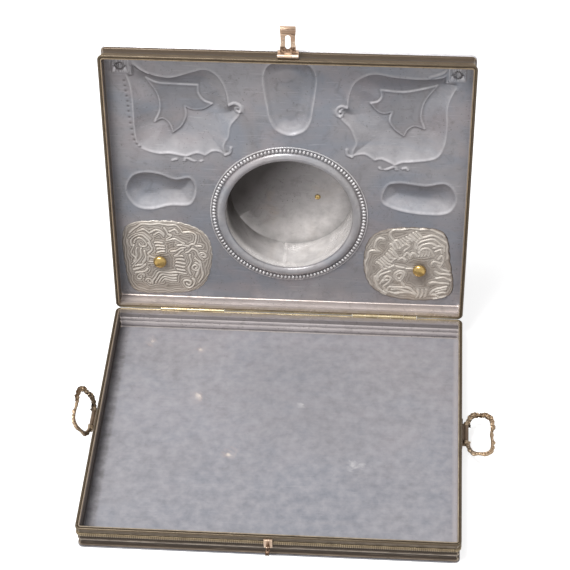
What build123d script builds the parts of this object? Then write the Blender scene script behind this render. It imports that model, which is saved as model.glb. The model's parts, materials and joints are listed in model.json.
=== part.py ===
from build123d import *
import math
import os

# A shallow sheet-metal box for papers: a moulded tray, and a hinged lid with a
# drum for a seal that stands out of its back. It is shown open, as it stands.
# Frame: origin at the centre of the tray's underside, +X right, +Y to the hinge, +Z up.

# Driving dimensions, in millimetres and degrees

tray_width = 380.0
tray_depth = 312.0
tray_height = 29.0
lid_height = 23.0
open_angle = 98.3
corner_radius = 6.0
wall_sheet = 1.2
plate_sheet = 1.4
plate_setback = 0.6

# Moulded walls, from the plate's edge to the rim
foot_roll = 3.4
foot_proud = 0.8
lower_cove = 5.4
cove_sink = 1.0
fillet_roll = 2.0
fillet_proud = 0.8
upper_cove = 4.6
moulding_setback = 1.9
lid_cove = 9.5
neck_slope = 3.0

# Rim wires and the milled bead round the tray
rim_wire_radius = 1.5
rim_gap = 0.3
stop_gap = 0.3
milled_bead_radius = 2.3

# Hinges at the back
hinge_offset = 105.0
knuckle_length = 14.0
knuckle_count = 5
knuckle_radius = 1.9
knuckle_gap = 0.3
hinge_pin_radius = 0.95
running_clearance = 0.05
leaf_sheet = 0.8
leaf_height = 2.4

# Seal drum in the lid
drum_from_hinge = 115.0
drum_bore_radius = 67.6
drum_sheet = 1.2
drum_depth = 45.0
drum_lip = 1.2
ring_width = 16.6
ring_height = 4.2
pearl_inset = 4.0
pearl_radius = 1.9
pearl_count = 124
rivet_x = 28.0
rivet_from_hinge = 109.0
rivet_radius = 1.8

# Hollows and cartouches pressed outwards in the lid
hollow_depth = 5.0
hollow_draft = 5.0
cartouche_depth = 5.0
cartouche_draft = 9.0
field_rise = 0.9
field_draft = 0.6
top_hollow_x = 1.5
top_hollow_from_front = 56.0
side_hollow_from_side = 53.0
side_hollow_from_hinge = 140.0

# Ornament plates, knobs and pierced plates in the lid's corners
ornament_from_side = 14.0
ornament_past_ring = 1.2
ornament_sheet = 0.9
ornament_border = 3.0
ornament_scallop = 2.6
knob_from_side = 49.0
knob_from_hinge = 51.0
knob_radius = 7.3
knob_rise = 5.4
knob_neck = 2.4
knob_shank_radius = 2.0
clench_radius = 4.0
clench_thickness = 1.0
pierced_from_side = 19.0
pierced_from_front = 22.5
pierced_width = 18.0
pierced_depth = 16.5
pierced_sheet = 1.0
pierced_hole_radius = 2.9

# Hasp, its bracket on the lid and the staple on the tray
catch_x = 1.2
hasp_width = 15.8
hasp_sheet = 1.5
hasp_reach = 33.4
hasp_from_rim = 6.0
hasp_pivot_proud = 1.4
hasp_knuckle_radius = 2.4
hasp_knuckle_length = 7.0
hasp_pin_radius = 1.1
hasp_slot_start = 7.4
hasp_slot_length = 15.6
hasp_slot_width = 5.4
hasp_curl_radius = 2.3
bracket_width = 21.0
bracket_height = 8.0
bracket_ledge = 5.2
staple_thickness = 3.8
staple_root_height = 9.0
staple_reach = 14.0
staple_hole_radius = 2.3
staple_nose_radius = 3.2
staple_droop = 2.0
staple_base_width = 8.6
staple_base_proud = 1.8

# Bail handles at the two ends
handle_height = 17.0
handle_pivot_proud = 4.6
left_handle_lift = 55.0
bail_reach = 27.5
bail_spread = 26.8
bail_depth = 4.2
barrel_length = 20.0
barrel_radius = 2.6
handle_eye_radius = 2.6
handle_eye_length = 4.6
handle_pin_radius = 1.5
handle_gap = 0.3
backplate_height = 11.0
backplate_proud = 1.0

# Values worked out from the driving dimensions

wall_setback = 2 * rim_wire_radius
half_open = math.radians(open_angle / 2)
wire_rise = rim_wire_radius + rim_gap / 2
hinge_setback = (rim_wire_radius + stop_gap / 2 - wire_rise * math.cos(half_open)) / math.sin(half_open)
hinge_y = tray_depth / 2 - rim_wire_radius + hinge_setback
hinge_z = tray_height + rim_gap / 2
lid_hinge_z = lid_height + rim_gap / 2
foot_top = plate_sheet + foot_roll
cove_top = foot_top + lower_cove
fillet_top = cove_top + fillet_roll
bead_z = fillet_top + upper_cove + milled_bead_radius
bead_top = bead_z + milled_bead_radius
drum_outer_radius = drum_bore_radius + drum_sheet
ring_outer_radius = drum_bore_radius + ring_width
pearl_circle_radius = ring_outer_radius - pearl_inset
ornament_width = tray_width / 2 - ornament_from_side - ring_outer_radius + ornament_past_ring
catch_pivot_y = tray_depth / 2 + hasp_pivot_proud
catch_pivot_z = lid_height - hasp_from_rim
closed_pivot_z = tray_height + rim_gap + hasp_from_rim
staple_z = closed_pivot_z - hasp_slot_start - hasp_slot_length / 2
handle_x = tray_width / 2 + handle_pivot_proud


def lid_point(x, from_hinge):
    """A point of the lid's own plan, by its distance from the lid's back edge."""
    return (x, from_hinge - tray_depth / 2)


def hinge_corner(from_side, from_hinge):
    """A point in the lid's right lower corner, by its distances from the side and the hinge edge."""
    return lid_point(tray_width / 2 - from_side, from_hinge)


def front_corner(from_side, from_front):
    """A point in the lid's right upper corner, by its distances from the side and the front edge."""
    return lid_point(tray_width / 2 - from_side, tray_depth - from_front)


def stand(shape):
    """Stand the lid, built lying on its back with its open side up, on the hinge."""
    lying = Pos(0, 2 * hinge_y, tray_height - lid_height) * shape
    return lying.rotate(Axis((0, hinge_y, hinge_z), (1, 0, 0)), 180 - open_angle)


def to_left(shape):
    """The left side's copy of a piece on the right side."""
    return mirror(shape, about=Plane.YZ)


def dome(radius, edge, rise):
    """The arc of a round head, from its top on the axis to its edge."""
    sphere = (radius ** 2 + rise ** 2) / (2 * abs(rise))
    lean = math.asin(radius / sphere) / 2
    drop = math.copysign(sphere * (1 - math.cos(lean)), rise)
    return ThreePointArc((0, edge + rise), (sphere * math.sin(lean), edge + rise - drop), (radius, edge))


# Mouldings: a section has its first axis outwards and its second axis up

def ribbon_section(edges, start, end):
    """The section of a sheet whose outer face follows the edges."""
    inner = [Pos(-wall_sheet, 0) * edge for edge in edges]
    caps = [Line(point, (point[0] - wall_sheet, point[1])) for point in (start, end)]
    return make_face(edges + inner + caps)


def roll(bottom, top, proud):
    """A convex arc between two heights of the moulding."""
    return ThreePointArc((-moulding_setback, bottom), (-moulding_setback + proud, (bottom + top) / 2),
                         (-moulding_setback, top))


def tray_section():
    """Foot roll, cove, fillet, cove, seat of the milled bead, and the neck up to the rim."""
    neck = bead_top + neck_slope
    edges = [
        roll(plate_sheet, foot_top, foot_proud),
        roll(foot_top, cove_top, -cove_sink),
        roll(cove_top, fillet_top, fillet_proud),
        roll(fillet_top, fillet_top + upper_cove, -cove_sink),
        Line((-moulding_setback, fillet_top + upper_cove), (-moulding_setback, bead_top)),
        Line((-moulding_setback, bead_top), (-wall_setback, neck)),
        Line((-wall_setback, neck), (-wall_setback, tray_height)),
    ]
    return ribbon_section(edges, (-moulding_setback, plate_sheet), (-wall_setback, tray_height))


def lid_section():
    """Foot roll, one broad cove, and the neck up to the rim."""
    broad_top = foot_top + lid_cove
    neck = broad_top + neck_slope
    edges = [
        roll(plate_sheet, foot_top, foot_proud),
        roll(foot_top, broad_top, -cove_sink),
        Line((-moulding_setback, broad_top), (-wall_setback, neck)),
        Line((-wall_setback, neck), (-wall_setback, lid_height)),
    ]
    return ribbon_section(edges, (-moulding_setback, plate_sheet), (-wall_setback, lid_height))


def moulded_side(section, across, along):
    """A straight moulding on the +X side, with half of each rounded corner."""
    run = along - corner_radius
    face = Plane.XZ * (Pos(across, 0) * section)
    straight = extrude(face, amount=run, both=True)
    pivot = Axis((across - corner_radius, run, 0), (0, 0, 1))
    corner = revolve(Pos(0, run, 0) * face, pivot, 45)
    return straight + corner + mirror(corner, about=Plane.XZ)


def four_sides(section):
    """The moulding on the right, back, left and front, meeting in mitres."""
    sides = []
    for quarter in range(4):
        across, along = tray_width / 2, tray_depth / 2
        if quarter % 2:
            across, along = along, across
        sides.append(Rot(0, 0, 90 * quarter) * moulded_side(section, across, along))
    return sides


def closed_ring(section):
    """The same moulding as one ring."""
    right, back, left, front = four_sides(section)
    return right + back + left + front


def plate(thickness):
    """A flat plate under the walls, its edge just inside the rim's outside."""
    width = tray_width - 2 * plate_setback
    depth = tray_depth - 2 * plate_setback
    return extrude(RectangleRounded(width, depth, corner_radius - plate_setback), thickness)


def rim_wire(rim_height, hinge_side):
    """The round wire under the rim, left out where the hinge knuckles turn."""
    ring = closed_ring(Pos(-rim_wire_radius, rim_height - rim_wire_radius) * Circle(rim_wire_radius))
    span = knuckle_count * knuckle_length + 2 * knuckle_gap
    for x in (-hinge_offset, hinge_offset):
        ring -= Pos(x, hinge_side * tray_depth / 2, rim_height) * Box(span, 10 * rim_wire_radius, 10 * rim_wire_radius)
    return ring


def milled_bead():
    """The half-round strip round the tray, cut short at the handles and the staple."""
    half_round = Circle(milled_bead_radius) & Pos(milled_bead_radius, 0) * Rectangle(
        2 * milled_bead_radius, 2 * milled_bead_radius)
    return closed_ring(Pos(-moulding_setback, bead_z) * half_round)


# Hinges

def knuckle_span(index):
    """Centre and length of one knuckle, counted from the left of its hinge."""
    start = (index - knuckle_count / 2) * knuckle_length
    return start + knuckle_length / 2, knuckle_length - knuckle_gap


def hinge_leaves(rim_height, axis_z, own, wall):
    """Two leaves on the +Y side's wall, with the knuckles whose numbers are in own."""
    outer_y = tray_depth / 2 - wall_setback
    top = axis_z - knuckle_radius - knuckle_gap
    leaves = []
    for x in (-hinge_offset, hinge_offset):
        strip = Pos(x, outer_y + leaf_sheet / 2, top - leaf_height / 2) * Box(
            knuckle_count * knuckle_length - knuckle_gap, leaf_sheet, leaf_height)
        for index in own:
            centre, length = knuckle_span(index)
            tab_height = rim_height - top + leaf_height / 2
            tab = Pos(x + centre, outer_y + leaf_sheet / 2, rim_height - tab_height / 2) * Box(
                length, leaf_sheet, tab_height)
            barrel = Pos(x + centre, hinge_y, axis_z) * Rot(0, 90, 0) * Cylinder(knuckle_radius, length)
            strip += tab + barrel
        bore = Pos(x, hinge_y, axis_z) * Rot(0, 90, 0) * Cylinder(
            hinge_pin_radius + running_clearance, knuckle_count * knuckle_length)
        leaves.append(strip - bore - wall)
    return leaves


def hinge_pins():
    """One pin in each hinge."""
    length = knuckle_count * knuckle_length
    return [Pos(x, hinge_y, hinge_z) * Rot(0, 90, 0) * Cylinder(hinge_pin_radius, length)
            for x in (-hinge_offset, hinge_offset)]


# Pressed hollows: each has an outline at the sheet and a smaller one at its floor

def shrunk(points, by):
    """The points moved towards their middle, so that the outline shrinks by about this much."""
    middle_x = (max(x for x, _ in points) + min(x for x, _ in points)) / 2
    middle_y = (max(y for _, y in points) + min(y for _, y in points)) / 2
    reach_x = (max(x for x, _ in points) - min(x for x, _ in points)) / 2
    reach_y = (max(y for _, y in points) - min(y for _, y in points)) / 2
    return [(middle_x + (x - middle_x) * (1 - by / reach_x), middle_y + (y - middle_y) * (1 - by / reach_y))
            for x, y in points]


def smooth_outline(points):
    """A closed smooth curve through the points."""
    return Wire([Edge.make_spline([Vector(x, y) for x, y in points], periodic=True)])


def cusped_outline(points):
    """Arcs through every second point, which meet in cusps at the others."""
    count = len(points)
    return Wire([ThreePointArc(points[i], points[i + 1], points[(i + 2) % count]).edge()
                 for i in range(0, count, 2)])


def pressing(outline, points, depth, draft):
    """A solid from the sheet's plane down to a floor that is smaller by the draft."""
    floor = Pos(0, 0, -depth) * outline(shrunk(points, draft))
    return Solid.make_loft([outline(points), floor], ruled=True)


def top_hollow_points():
    """The upright hollow above the drum, a little wider at its top."""
    right = [(0, 43.5), (15, 42), (25, 35), (27, 22), (24.5, 0), (21.5, -26), (14, -38.5), (0, -43)]
    left = [(-x, y) for x, y in right[-2:0:-1]]
    middle = tray_depth - top_hollow_from_front
    return [lid_point(x + top_hollow_x, y + middle) for x, y in right + left]


def side_hollow_points():
    """The lying hollow to the right of the drum, its outer lobe the larger."""
    upper = [(38, 0), (30, 16.5), (16, 17.5), (2, 16), (-14, 22.5), (-30, 19), (-37.5, 0)]
    lower = [(x, -y) for x, y in upper[-2:0:-1]]
    return [hinge_corner(x + side_hollow_from_side, y + side_hollow_from_hinge) for x, y in upper + lower]


def cartouche_points():
    """The right corner's cartouche: cusps, each with the middle of the arc that leaves it."""
    points = [
        (23, 15), (38, 29), (64, 32), (102, 22),
        (124, 40), (130, 54), (129.5, 65), (133, 66), (139, 69), (133, 86),
        (123.5, 107), (122, 115), (124, 122.5), (114, 119), (104, 125), (93, 123),
        (81, 130), (64, 125.5), (47, 124), (33, 114), (29, 98), (28, 56),
    ]
    return [front_corner(*point) for point in points]


def field_points():
    """The plain field inside the cartouche, with hollow sides."""
    points = [
        (47, 40), (73, 48), (98, 47.5), (99, 58),
        (105.5, 65.5), (92, 66), (82, 70), (78, 86), (71.5, 102.5), (63, 92),
        (52.5, 90.5), (55, 65),
    ]
    return [front_corner(*point) for point in points]


def cartouche():
    """The right corner's cartouche: a bowl, and a plain field a little above its floor."""
    bowl = pressing(cusped_outline, cartouche_points(), cartouche_depth, cartouche_draft)
    field = pressing(cusped_outline, field_points(), cartouche_depth, -field_draft)
    return bowl - Pos(0, 0, field_rise - cartouche_depth) * field


def lid_panel():
    """The lid's panel, with its pressed hollows, the drum's opening and the holes of knobs and pierced plates."""
    side_hollow = pressing(smooth_outline, side_hollow_points(), hollow_depth, hollow_draft)
    tools = [pressing(smooth_outline, top_hollow_points(), hollow_depth, hollow_draft)]
    for tool in (side_hollow, cartouche()):
        tools += [tool, to_left(tool)]
    panel = plate(plate_sheet)
    for tool in tools:
        panel = panel + tool - Pos(0, 0, plate_sheet) * tool
    through = 6 * plate_sheet
    holes = Pos(*hinge_corner(knob_from_side, knob_from_hinge)) * Cylinder(knob_shank_radius, through)
    holes += Pos(*front_corner(pierced_from_side, pierced_from_front)) * Cylinder(pierced_hole_radius, through)
    panel = panel - holes - to_left(holes)
    return panel - Pos(*lid_point(0, drum_from_hinge)) * Cylinder(drum_outer_radius, through)


# Seal drum

def drum_wall():
    """The drum's tube, from the panel's inner face out to its end plate."""
    length = plate_sheet + drum_depth
    tube = Cylinder(drum_outer_radius, length) - Cylinder(drum_bore_radius, length)
    return Pos(*lid_point(0, drum_from_hinge), plate_sheet - length / 2) * tube


def drum_end():
    """The drum's end plate, with a rolled lip round the tube and a hole for the rivet."""
    plate_z = -drum_depth - drum_sheet / 2
    lip_radius = drum_outer_radius + drum_lip
    disc = Pos(0, 0, plate_z) * Cylinder(lip_radius, drum_sheet)
    lip = Pos(0, 0, -drum_depth + drum_lip) * (Cylinder(lip_radius, 2 * drum_lip)
                                              - Cylinder(drum_outer_radius, 2 * drum_lip))
    end = fillet((disc + lip).edges().filter_by(GeomType.CIRCLE).group_by(Axis.Z)[0], drum_sheet / 2)
    hole = Pos(rivet_x, rivet_from_hinge - drum_from_hinge, plate_z) * Cylinder(rivet_radius, 2 * drum_sheet)
    return Pos(*lid_point(0, drum_from_hinge), 0) * (end - hole)


def drum_rivet():
    """The small rivet through the drum's end plate, domed on both sides."""
    head_radius, face_z = 1.5 * rivet_radius, drum_sheet / 2
    profile = make_face([
        Line((0, -face_z - rivet_radius), (0, face_z + rivet_radius)),
        dome(head_radius, face_z, rivet_radius),
        Polyline((head_radius, face_z), (rivet_radius, face_z), (rivet_radius, -face_z), (head_radius, -face_z)),
        dome(head_radius, -face_z, -rivet_radius),
    ])
    rivet = revolve(Plane.XZ * profile, Axis.Z)
    return Pos(*lid_point(rivet_x, rivet_from_hinge), -drum_depth - drum_sheet / 2) * rivet


def drum_ring():
    """The moulded ring round the drum's mouth, with its circle of pearls."""
    seat = ring_height / 4
    profile = make_face([
        Polyline((drum_bore_radius, seat), (drum_bore_radius, 0), (ring_outer_radius, 0),
                 (ring_outer_radius, seat), (pearl_circle_radius - 1.4 * pearl_radius, seat)),
        ThreePointArc((pearl_circle_radius - 1.4 * pearl_radius, seat),
                      ((pearl_circle_radius + drum_bore_radius) / 2 - pearl_radius, ring_height),
                      (drum_bore_radius, seat)),
    ])
    ring = revolve(Plane.XZ * profile, Axis.Z)
    pearl = Pos(pearl_circle_radius, 0, seat) * extrude(
        RegularPolygon(pearl_radius, 6), pearl_radius * 0.8, taper=35)
    pearls = [Rot(0, 0, 360 * i / pearl_count) * pearl for i in range(pearl_count)]
    ring = ring.fuse(*pearls)
    return Pos(*lid_point(0, drum_from_hinge), plate_sheet) * ring


# Ornament plates, knobs and pierced plates

def ornament_points():
    """The right ornament plate's scalloped outline, by shares of its width and distances from the hinge edge."""
    points = [(0.02, 14), (0, 45), (0, 72), (0.065, 96), (0.375, 103), (0.71, 100), (0.935, 86), (1, 58),
              (0.925, 30), (0.71, 13), (0.355, 9)]
    return [hinge_corner(ornament_from_side + share * ornament_width, u) for share, u in points]


def scalloped_outline(points):
    """Arcs from point to point, each bulging outwards."""
    middle = Vector(sum(x for x, _ in points) / len(points), sum(y for _, y in points) / len(points))
    arcs = []
    for i, start in enumerate(points):
        end = points[(i + 1) % len(points)]
        halfway = Vector((start[0] + end[0]) / 2, (start[1] + end[1]) / 2)
        crown = halfway + (halfway - middle).normalized() * ornament_scallop
        arcs.append(ThreePointArc(start, (crown.X, crown.Y), end).edge())
    return Wire(arcs)


def ornament_plate():
    """The right ornament plate with its raised border, laid on the panel's inner face."""
    points = ornament_points()
    outline = Face(scalloped_outline(points))
    inner = Face(scalloped_outline(shrunk(points, ornament_border)))
    slab = extrude(outline, 2 * ornament_sheet)
    sunk = Pos(0, 0, ornament_sheet) * extrude(inner, 2 * ornament_sheet)
    hole = Pos(*hinge_corner(knob_from_side, knob_from_hinge)) * Cylinder(knob_shank_radius, 6 * ornament_sheet)
    return Pos(0, 0, plate_sheet) * (slab - sunk - hole)


def knob():
    """The right domed knob on its shank, clenched over at the back of the panel."""
    seat = plate_sheet + ornament_sheet
    cap = seat + knob_neck
    profile = make_face([
        Polyline((0, cap + knob_rise), (0, -clench_thickness), (clench_radius, -clench_thickness),
                 (clench_radius, 0), (knob_shank_radius, 0), (knob_shank_radius, seat),
                 (knob_radius / 2, seat), (knob_radius / 2, cap), (knob_radius, cap)),
        dome(knob_radius, cap, knob_rise),
    ])
    return Pos(*hinge_corner(knob_from_side, knob_from_hinge)) * revolve(Plane.XZ * profile, Axis.Z)


def pierced_plate():
    """The small pierced plate in the right upper corner of the lid."""
    body = extrude(RectangleRounded(pierced_width, pierced_depth, 1.5) - Circle(pierced_hole_radius), pierced_sheet)
    return Pos(*front_corner(pierced_from_side, pierced_from_front), plate_sheet) * body


# Hasp, built at its own pivot: it reaches out along +Y, its thickness is at -Z

def hasp_solid():
    """The slotted hasp: knuckle, tongue, plate and the curled end for a finger."""
    shoulder = hasp_knuckle_radius + 2 * knuckle_gap
    sheet_z = -hasp_knuckle_radius + hasp_sheet / 2
    curl_y = hasp_reach - hasp_curl_radius
    knuckle = Rot(0, 90, 0) * Cylinder(hasp_knuckle_radius, hasp_knuckle_length)
    tongue = Pos(0, shoulder / 2, sheet_z) * Box(hasp_knuckle_length, shoulder, hasp_sheet)
    sheet = Pos(0, (shoulder + curl_y) / 2, sheet_z) * Box(hasp_width, curl_y - shoulder, hasp_sheet)
    curl_z = -hasp_knuckle_radius + hasp_curl_radius
    curl = Pos(0, curl_y, curl_z) * Rot(0, 90, 0) * (
        Cylinder(hasp_curl_radius, hasp_width) - Cylinder(hasp_curl_radius - hasp_sheet, hasp_width))
    mouth = Pos(0, curl_y - hasp_curl_radius, curl_z + hasp_curl_radius / 2 - hasp_sheet / 2) * Box(
        2 * hasp_width, 2 * hasp_curl_radius, hasp_curl_radius)
    slot = Pos(0, hasp_slot_start + hasp_slot_length / 2, sheet_z) * Rot(0, 0, 90) * extrude(
        SlotOverall(hasp_slot_length, hasp_slot_width), hasp_sheet, both=True)
    bore = Rot(0, 90, 0) * Cylinder(hasp_pin_radius + running_clearance, 2 * hasp_width)
    return knuckle + tongue + sheet + (curl - mouth) - slot - bore


def hasp_bracket(wall):
    """The bracket on the lid's front wall, scribed to the moulding behind it."""
    ear_length = (bracket_width - hasp_knuckle_length) / 2 - knuckle_gap
    ear_x = hasp_knuckle_length / 2 + knuckle_gap + ear_length / 2
    web_top = -hasp_knuckle_radius + hasp_sheet
    back = -hasp_pivot_proud - wall_setback
    web = Pos(0, (back - knuckle_gap) / 2, web_top - hasp_sheet / 2) * Box(
        bracket_width, -back - knuckle_gap, hasp_sheet)
    leaf_y = -hasp_pivot_proud / 2
    leaf = Pos(0, (leaf_y + back) / 2, web_top - bracket_height / 2) * Box(
        bracket_width, leaf_y - back, bracket_height)
    ledge_z = -hasp_knuckle_radius - running_clearance - hasp_sheet / 2
    body = web + leaf
    for side in (-1, 1):
        ear = Pos(side * ear_x, 0, 0) * Rot(0, 90, 0) * Cylinder(hasp_knuckle_radius, ear_length)
        heel = Pos(side * ear_x, -knuckle_gap / 2, web_top - hasp_sheet / 2) * Box(
            ear_length, knuckle_gap, hasp_sheet)
        ledge = Pos(side * ear_x, (bracket_ledge + leaf_y) / 2, ledge_z) * Box(
            ear_length, bracket_ledge - leaf_y, hasp_sheet)
        root = Pos(side * ear_x, leaf_y / 2, -hasp_knuckle_radius) * Box(ear_length, -leaf_y, hasp_sheet)
        body += ear + heel + ledge + root
    body -= Rot(0, 90, 0) * Cylinder(
        hasp_knuckle_radius + knuckle_gap, hasp_knuckle_length + 2 * knuckle_gap)
    body -= Rot(0, 90, 0) * Cylinder(hasp_pin_radius + running_clearance, 2 * bracket_width)
    return Pos(catch_x, catch_pivot_y, catch_pivot_z) * body - wall


def staple_base():
    """The block behind the staple, before it is scribed to the tray's front."""
    depth = moulding_setback + staple_base_proud
    height = staple_root_height + 2 * wall_sheet
    return Pos(catch_x, -tray_depth / 2 - staple_base_proud + depth / 2, staple_z) * Box(
        staple_base_width, depth, height)


def staple(wall):
    """The eye that passes through the hasp's slot, on its base."""
    front = Plane(origin=(catch_x, -tray_depth / 2, staple_z), x_dir=(0, -1, 0), z_dir=(-1, 0, 0))
    half = staple_root_height / 2
    nose = staple_reach - staple_nose_radius
    profile = make_face([
        Polyline((nose, staple_nose_radius - staple_droop), (0, half), (-moulding_setback, half),
                 (-moulding_setback, -half), (0, -half), (nose, -staple_nose_radius - staple_droop)),
        ThreePointArc((nose, -staple_nose_radius - staple_droop), (staple_reach, -staple_droop),
                      (nose, staple_nose_radius - staple_droop)),
    ])
    profile -= Pos(staple_reach / 2 + staple_hole_radius / 2, -staple_droop / 2) * Circle(staple_hole_radius)
    eye = extrude(front * profile, staple_thickness / 2, both=True)
    return staple_base() + eye - wall


# Bail handles, built for the right end about the pivot: first axis outwards, second along the wall

def arc_run(points):
    """Arcs through every second point, one after the other."""
    return [ThreePointArc(points[i], points[i + 1], points[i + 2]) for i in range(0, len(points) - 2, 2)]


def bail():
    """The flat bail: a rounded frame whose outer edge runs in leaves, with a tip where two arcs meet."""
    root = barrel_length / 2 + handle_gap
    reach, spread = bail_reach, bail_spread
    outer = [
        (0, root), (-0.6, root + 5), (1.4, spread - 6.4), (1.6, spread - 3.4), (4.2, spread - 1),
        (5.6, spread + 1.7), (0.35 * reach, spread + 2.6), (0.5 * reach, spread + 1.8), (0.64 * reach, spread + 2.7),
        (0.78 * reach, spread + 2.3), (reach - 2.8, spread), (reach + 0.2, spread - 2.4), (reach + 0.8, spread - 6.2),
        (reach + 2, 0.62 * spread), (reach + 0.9, 0.52 * spread), (reach + 2.3, 0.46 * spread),
        (reach + 3, 0.38 * spread), (reach + 1.2, 0.26 * spread), (reach + 1.4, 0),
    ]
    inner = [
        (5.3, root), (5.2, 0.5 * (root + spread)), (5.9, spread - 7), (8, spread - 3.8), (12, spread - 2.6),
        (0.52 * reach, spread - 2.4), (0.62 * reach, spread - 2.6), (0.8 * reach, spread - 4.4),
        (reach - 2.6, spread - 9.6), (reach - 2.2, 0.34 * spread), (reach - 3.4, 0),
    ]
    lines = arc_run(outer) + arc_run(inner) + [Line(outer[0], inner[0]), Line(outer[-1], inner[-1])]
    half = extrude(make_face(lines), bail_depth / 2, both=True)
    return half + mirror(half, about=Plane.XZ)


def handle():
    """The bail, its eyes, and the heels that stop it level against the backplate."""
    bar = bail()
    eye_y = barrel_length / 2 + handle_gap + handle_eye_length / 2
    heel_reach = handle_pivot_proud - backplate_proud - running_clearance
    for side in (-1, 1):
        eye = Pos(0, side * eye_y, 0) * Rot(90, 0, 0) * Cylinder(handle_eye_radius, handle_eye_length)
        heel = Pos(-heel_reach / 2, side * eye_y, -0.65 * handle_eye_radius) * Box(
            heel_reach, handle_eye_length, 0.7 * handle_eye_radius)
        bar += eye + heel
    clear = Box(4 * barrel_radius, barrel_length + 2 * handle_gap, 4 * barrel_radius)
    bore = Rot(90, 0, 0) * Cylinder(handle_pin_radius + running_clearance, 2 * barrel_length)
    return bar - clear - bore


def backplate_block():
    """The handle's backplate on the right wall, before it is scribed to the moulding."""
    depth = moulding_setback + backplate_proud
    length = barrel_length + 2 * (handle_gap + handle_eye_length) + 2 * wall_sheet
    return Pos(tray_width / 2 + backplate_proud - depth / 2, 0, handle_height) * Box(
        depth, length, backplate_height)


def handle_bracket(wall):
    """The backplate and the barrel that carries the handle's pin."""
    web_length = handle_pivot_proud - backplate_proud
    web = Pos(handle_x - web_length / 2, 0, handle_height) * Box(web_length, barrel_length, 1.4 * barrel_radius)
    barrel = Pos(handle_x, 0, handle_height) * Rot(90, 0, 0) * Cylinder(barrel_radius, barrel_length)
    bore = Pos(handle_x, 0, handle_height) * Rot(90, 0, 0) * Cylinder(handle_pin_radius, 2 * barrel_length)
    return backplate_block() + web + barrel - wall - bore


def handle_pin():
    """The pin through the barrel and both eyes of the bail."""
    length = barrel_length + 2 * (handle_gap + handle_eye_length)
    return Pos(handle_x, 0, handle_height) * Rot(90, 0, 0) * Cylinder(handle_pin_radius, length)


# The tray

parts = {}
tray_right, tray_back, tray_left, tray_front = four_sides(tray_section())
right_block = backplate_block()
parts["tray_floor"] = plate(plate_sheet)
parts["tray_right_wall"] = tray_right
parts["tray_back_wall"] = tray_back
parts["tray_left_wall"] = tray_left
parts["tray_front_wall"] = tray_front
parts["tray_rim_wire"] = rim_wire(tray_height, 1)
parts["tray_milled_bead"] = milled_bead() - right_block - to_left(right_block) - staple_base()
parts["tray_hinge_leaves"] = hinge_leaves(tray_height, hinge_z, range(0, knuckle_count, 2), tray_back)
parts["hinge_pins"] = hinge_pins()
parts["staple"] = staple(tray_front)
parts["right_handle_bracket"] = handle_bracket(tray_right)
parts["right_handle_pin"] = handle_pin()
parts["right_handle"] = Pos(handle_x, 0, handle_height) * handle()
for name in ("handle_bracket", "handle_pin", "handle"):
    parts["left_" + name] = to_left(parts["right_" + name])
left_pivot = Axis((-handle_x, 0, handle_height), (0, 1, 0))
parts["left_handle"] = parts["left_handle"].rotate(left_pivot, left_handle_lift)

# The lid, built lying open on its back and then stood on the hinge

lid_right, lid_front, lid_left, lid_back = four_sides(lid_section())
lid_leaves = hinge_leaves(lid_height, lid_hinge_z, range(1, knuckle_count, 2), lid_front)
lid_pieces = {
    "lid_panel": lid_panel(),
    "lid_right_wall": lid_right,
    "lid_front_wall": lid_front,
    "lid_left_wall": lid_left,
    "lid_back_wall": lid_back,
    "lid_rim_wire": rim_wire(lid_height, -1),
    "lid_hinge_leaves": [Rot(0, 0, 180) * leaf for leaf in lid_leaves],
    "drum_wall": drum_wall(),
    "drum_end": drum_end(),
    "drum_rivet": drum_rivet(),
    "drum_ring": drum_ring(),
    "hasp_bracket": hasp_bracket(lid_front),
    "hasp_pin": Pos(catch_x, catch_pivot_y, catch_pivot_z) * Rot(0, 90, 0) * Cylinder(
        hasp_pin_radius, bracket_width),
    "hasp": Pos(catch_x, catch_pivot_y, catch_pivot_z) * hasp_solid(),
}
for name, piece in (("ornament_plate", ornament_plate()), ("knob", knob()), ("pierced_plate", pierced_plate())):
    lid_pieces["right_" + name] = piece
    lid_pieces["left_" + name] = to_left(piece)

for name, piece in lid_pieces.items():
    parts[name] = [stand(solid) for solid in piece] if isinstance(piece, list) else stand(piece)

os.makedirs("parts", exist_ok=True)
for name, piece in parts.items():
    shape = Compound(piece) if isinstance(piece, list) else piece
    export_step(shape, os.path.join("parts", name + ".step"))
    print(name, [round(v, 1) for v in shape.bounding_box().size])
print("hinge axis y, z", round(hinge_y, 4), round(hinge_z, 4), "setback", round(hinge_setback, 4))
print("staple z", staple_z, "hasp pivot in the lid", catch_pivot_y, catch_pivot_z)
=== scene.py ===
import json
import math

import bmesh
import bpy
import numpy as np
from mathutils import Matrix, Vector

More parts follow.
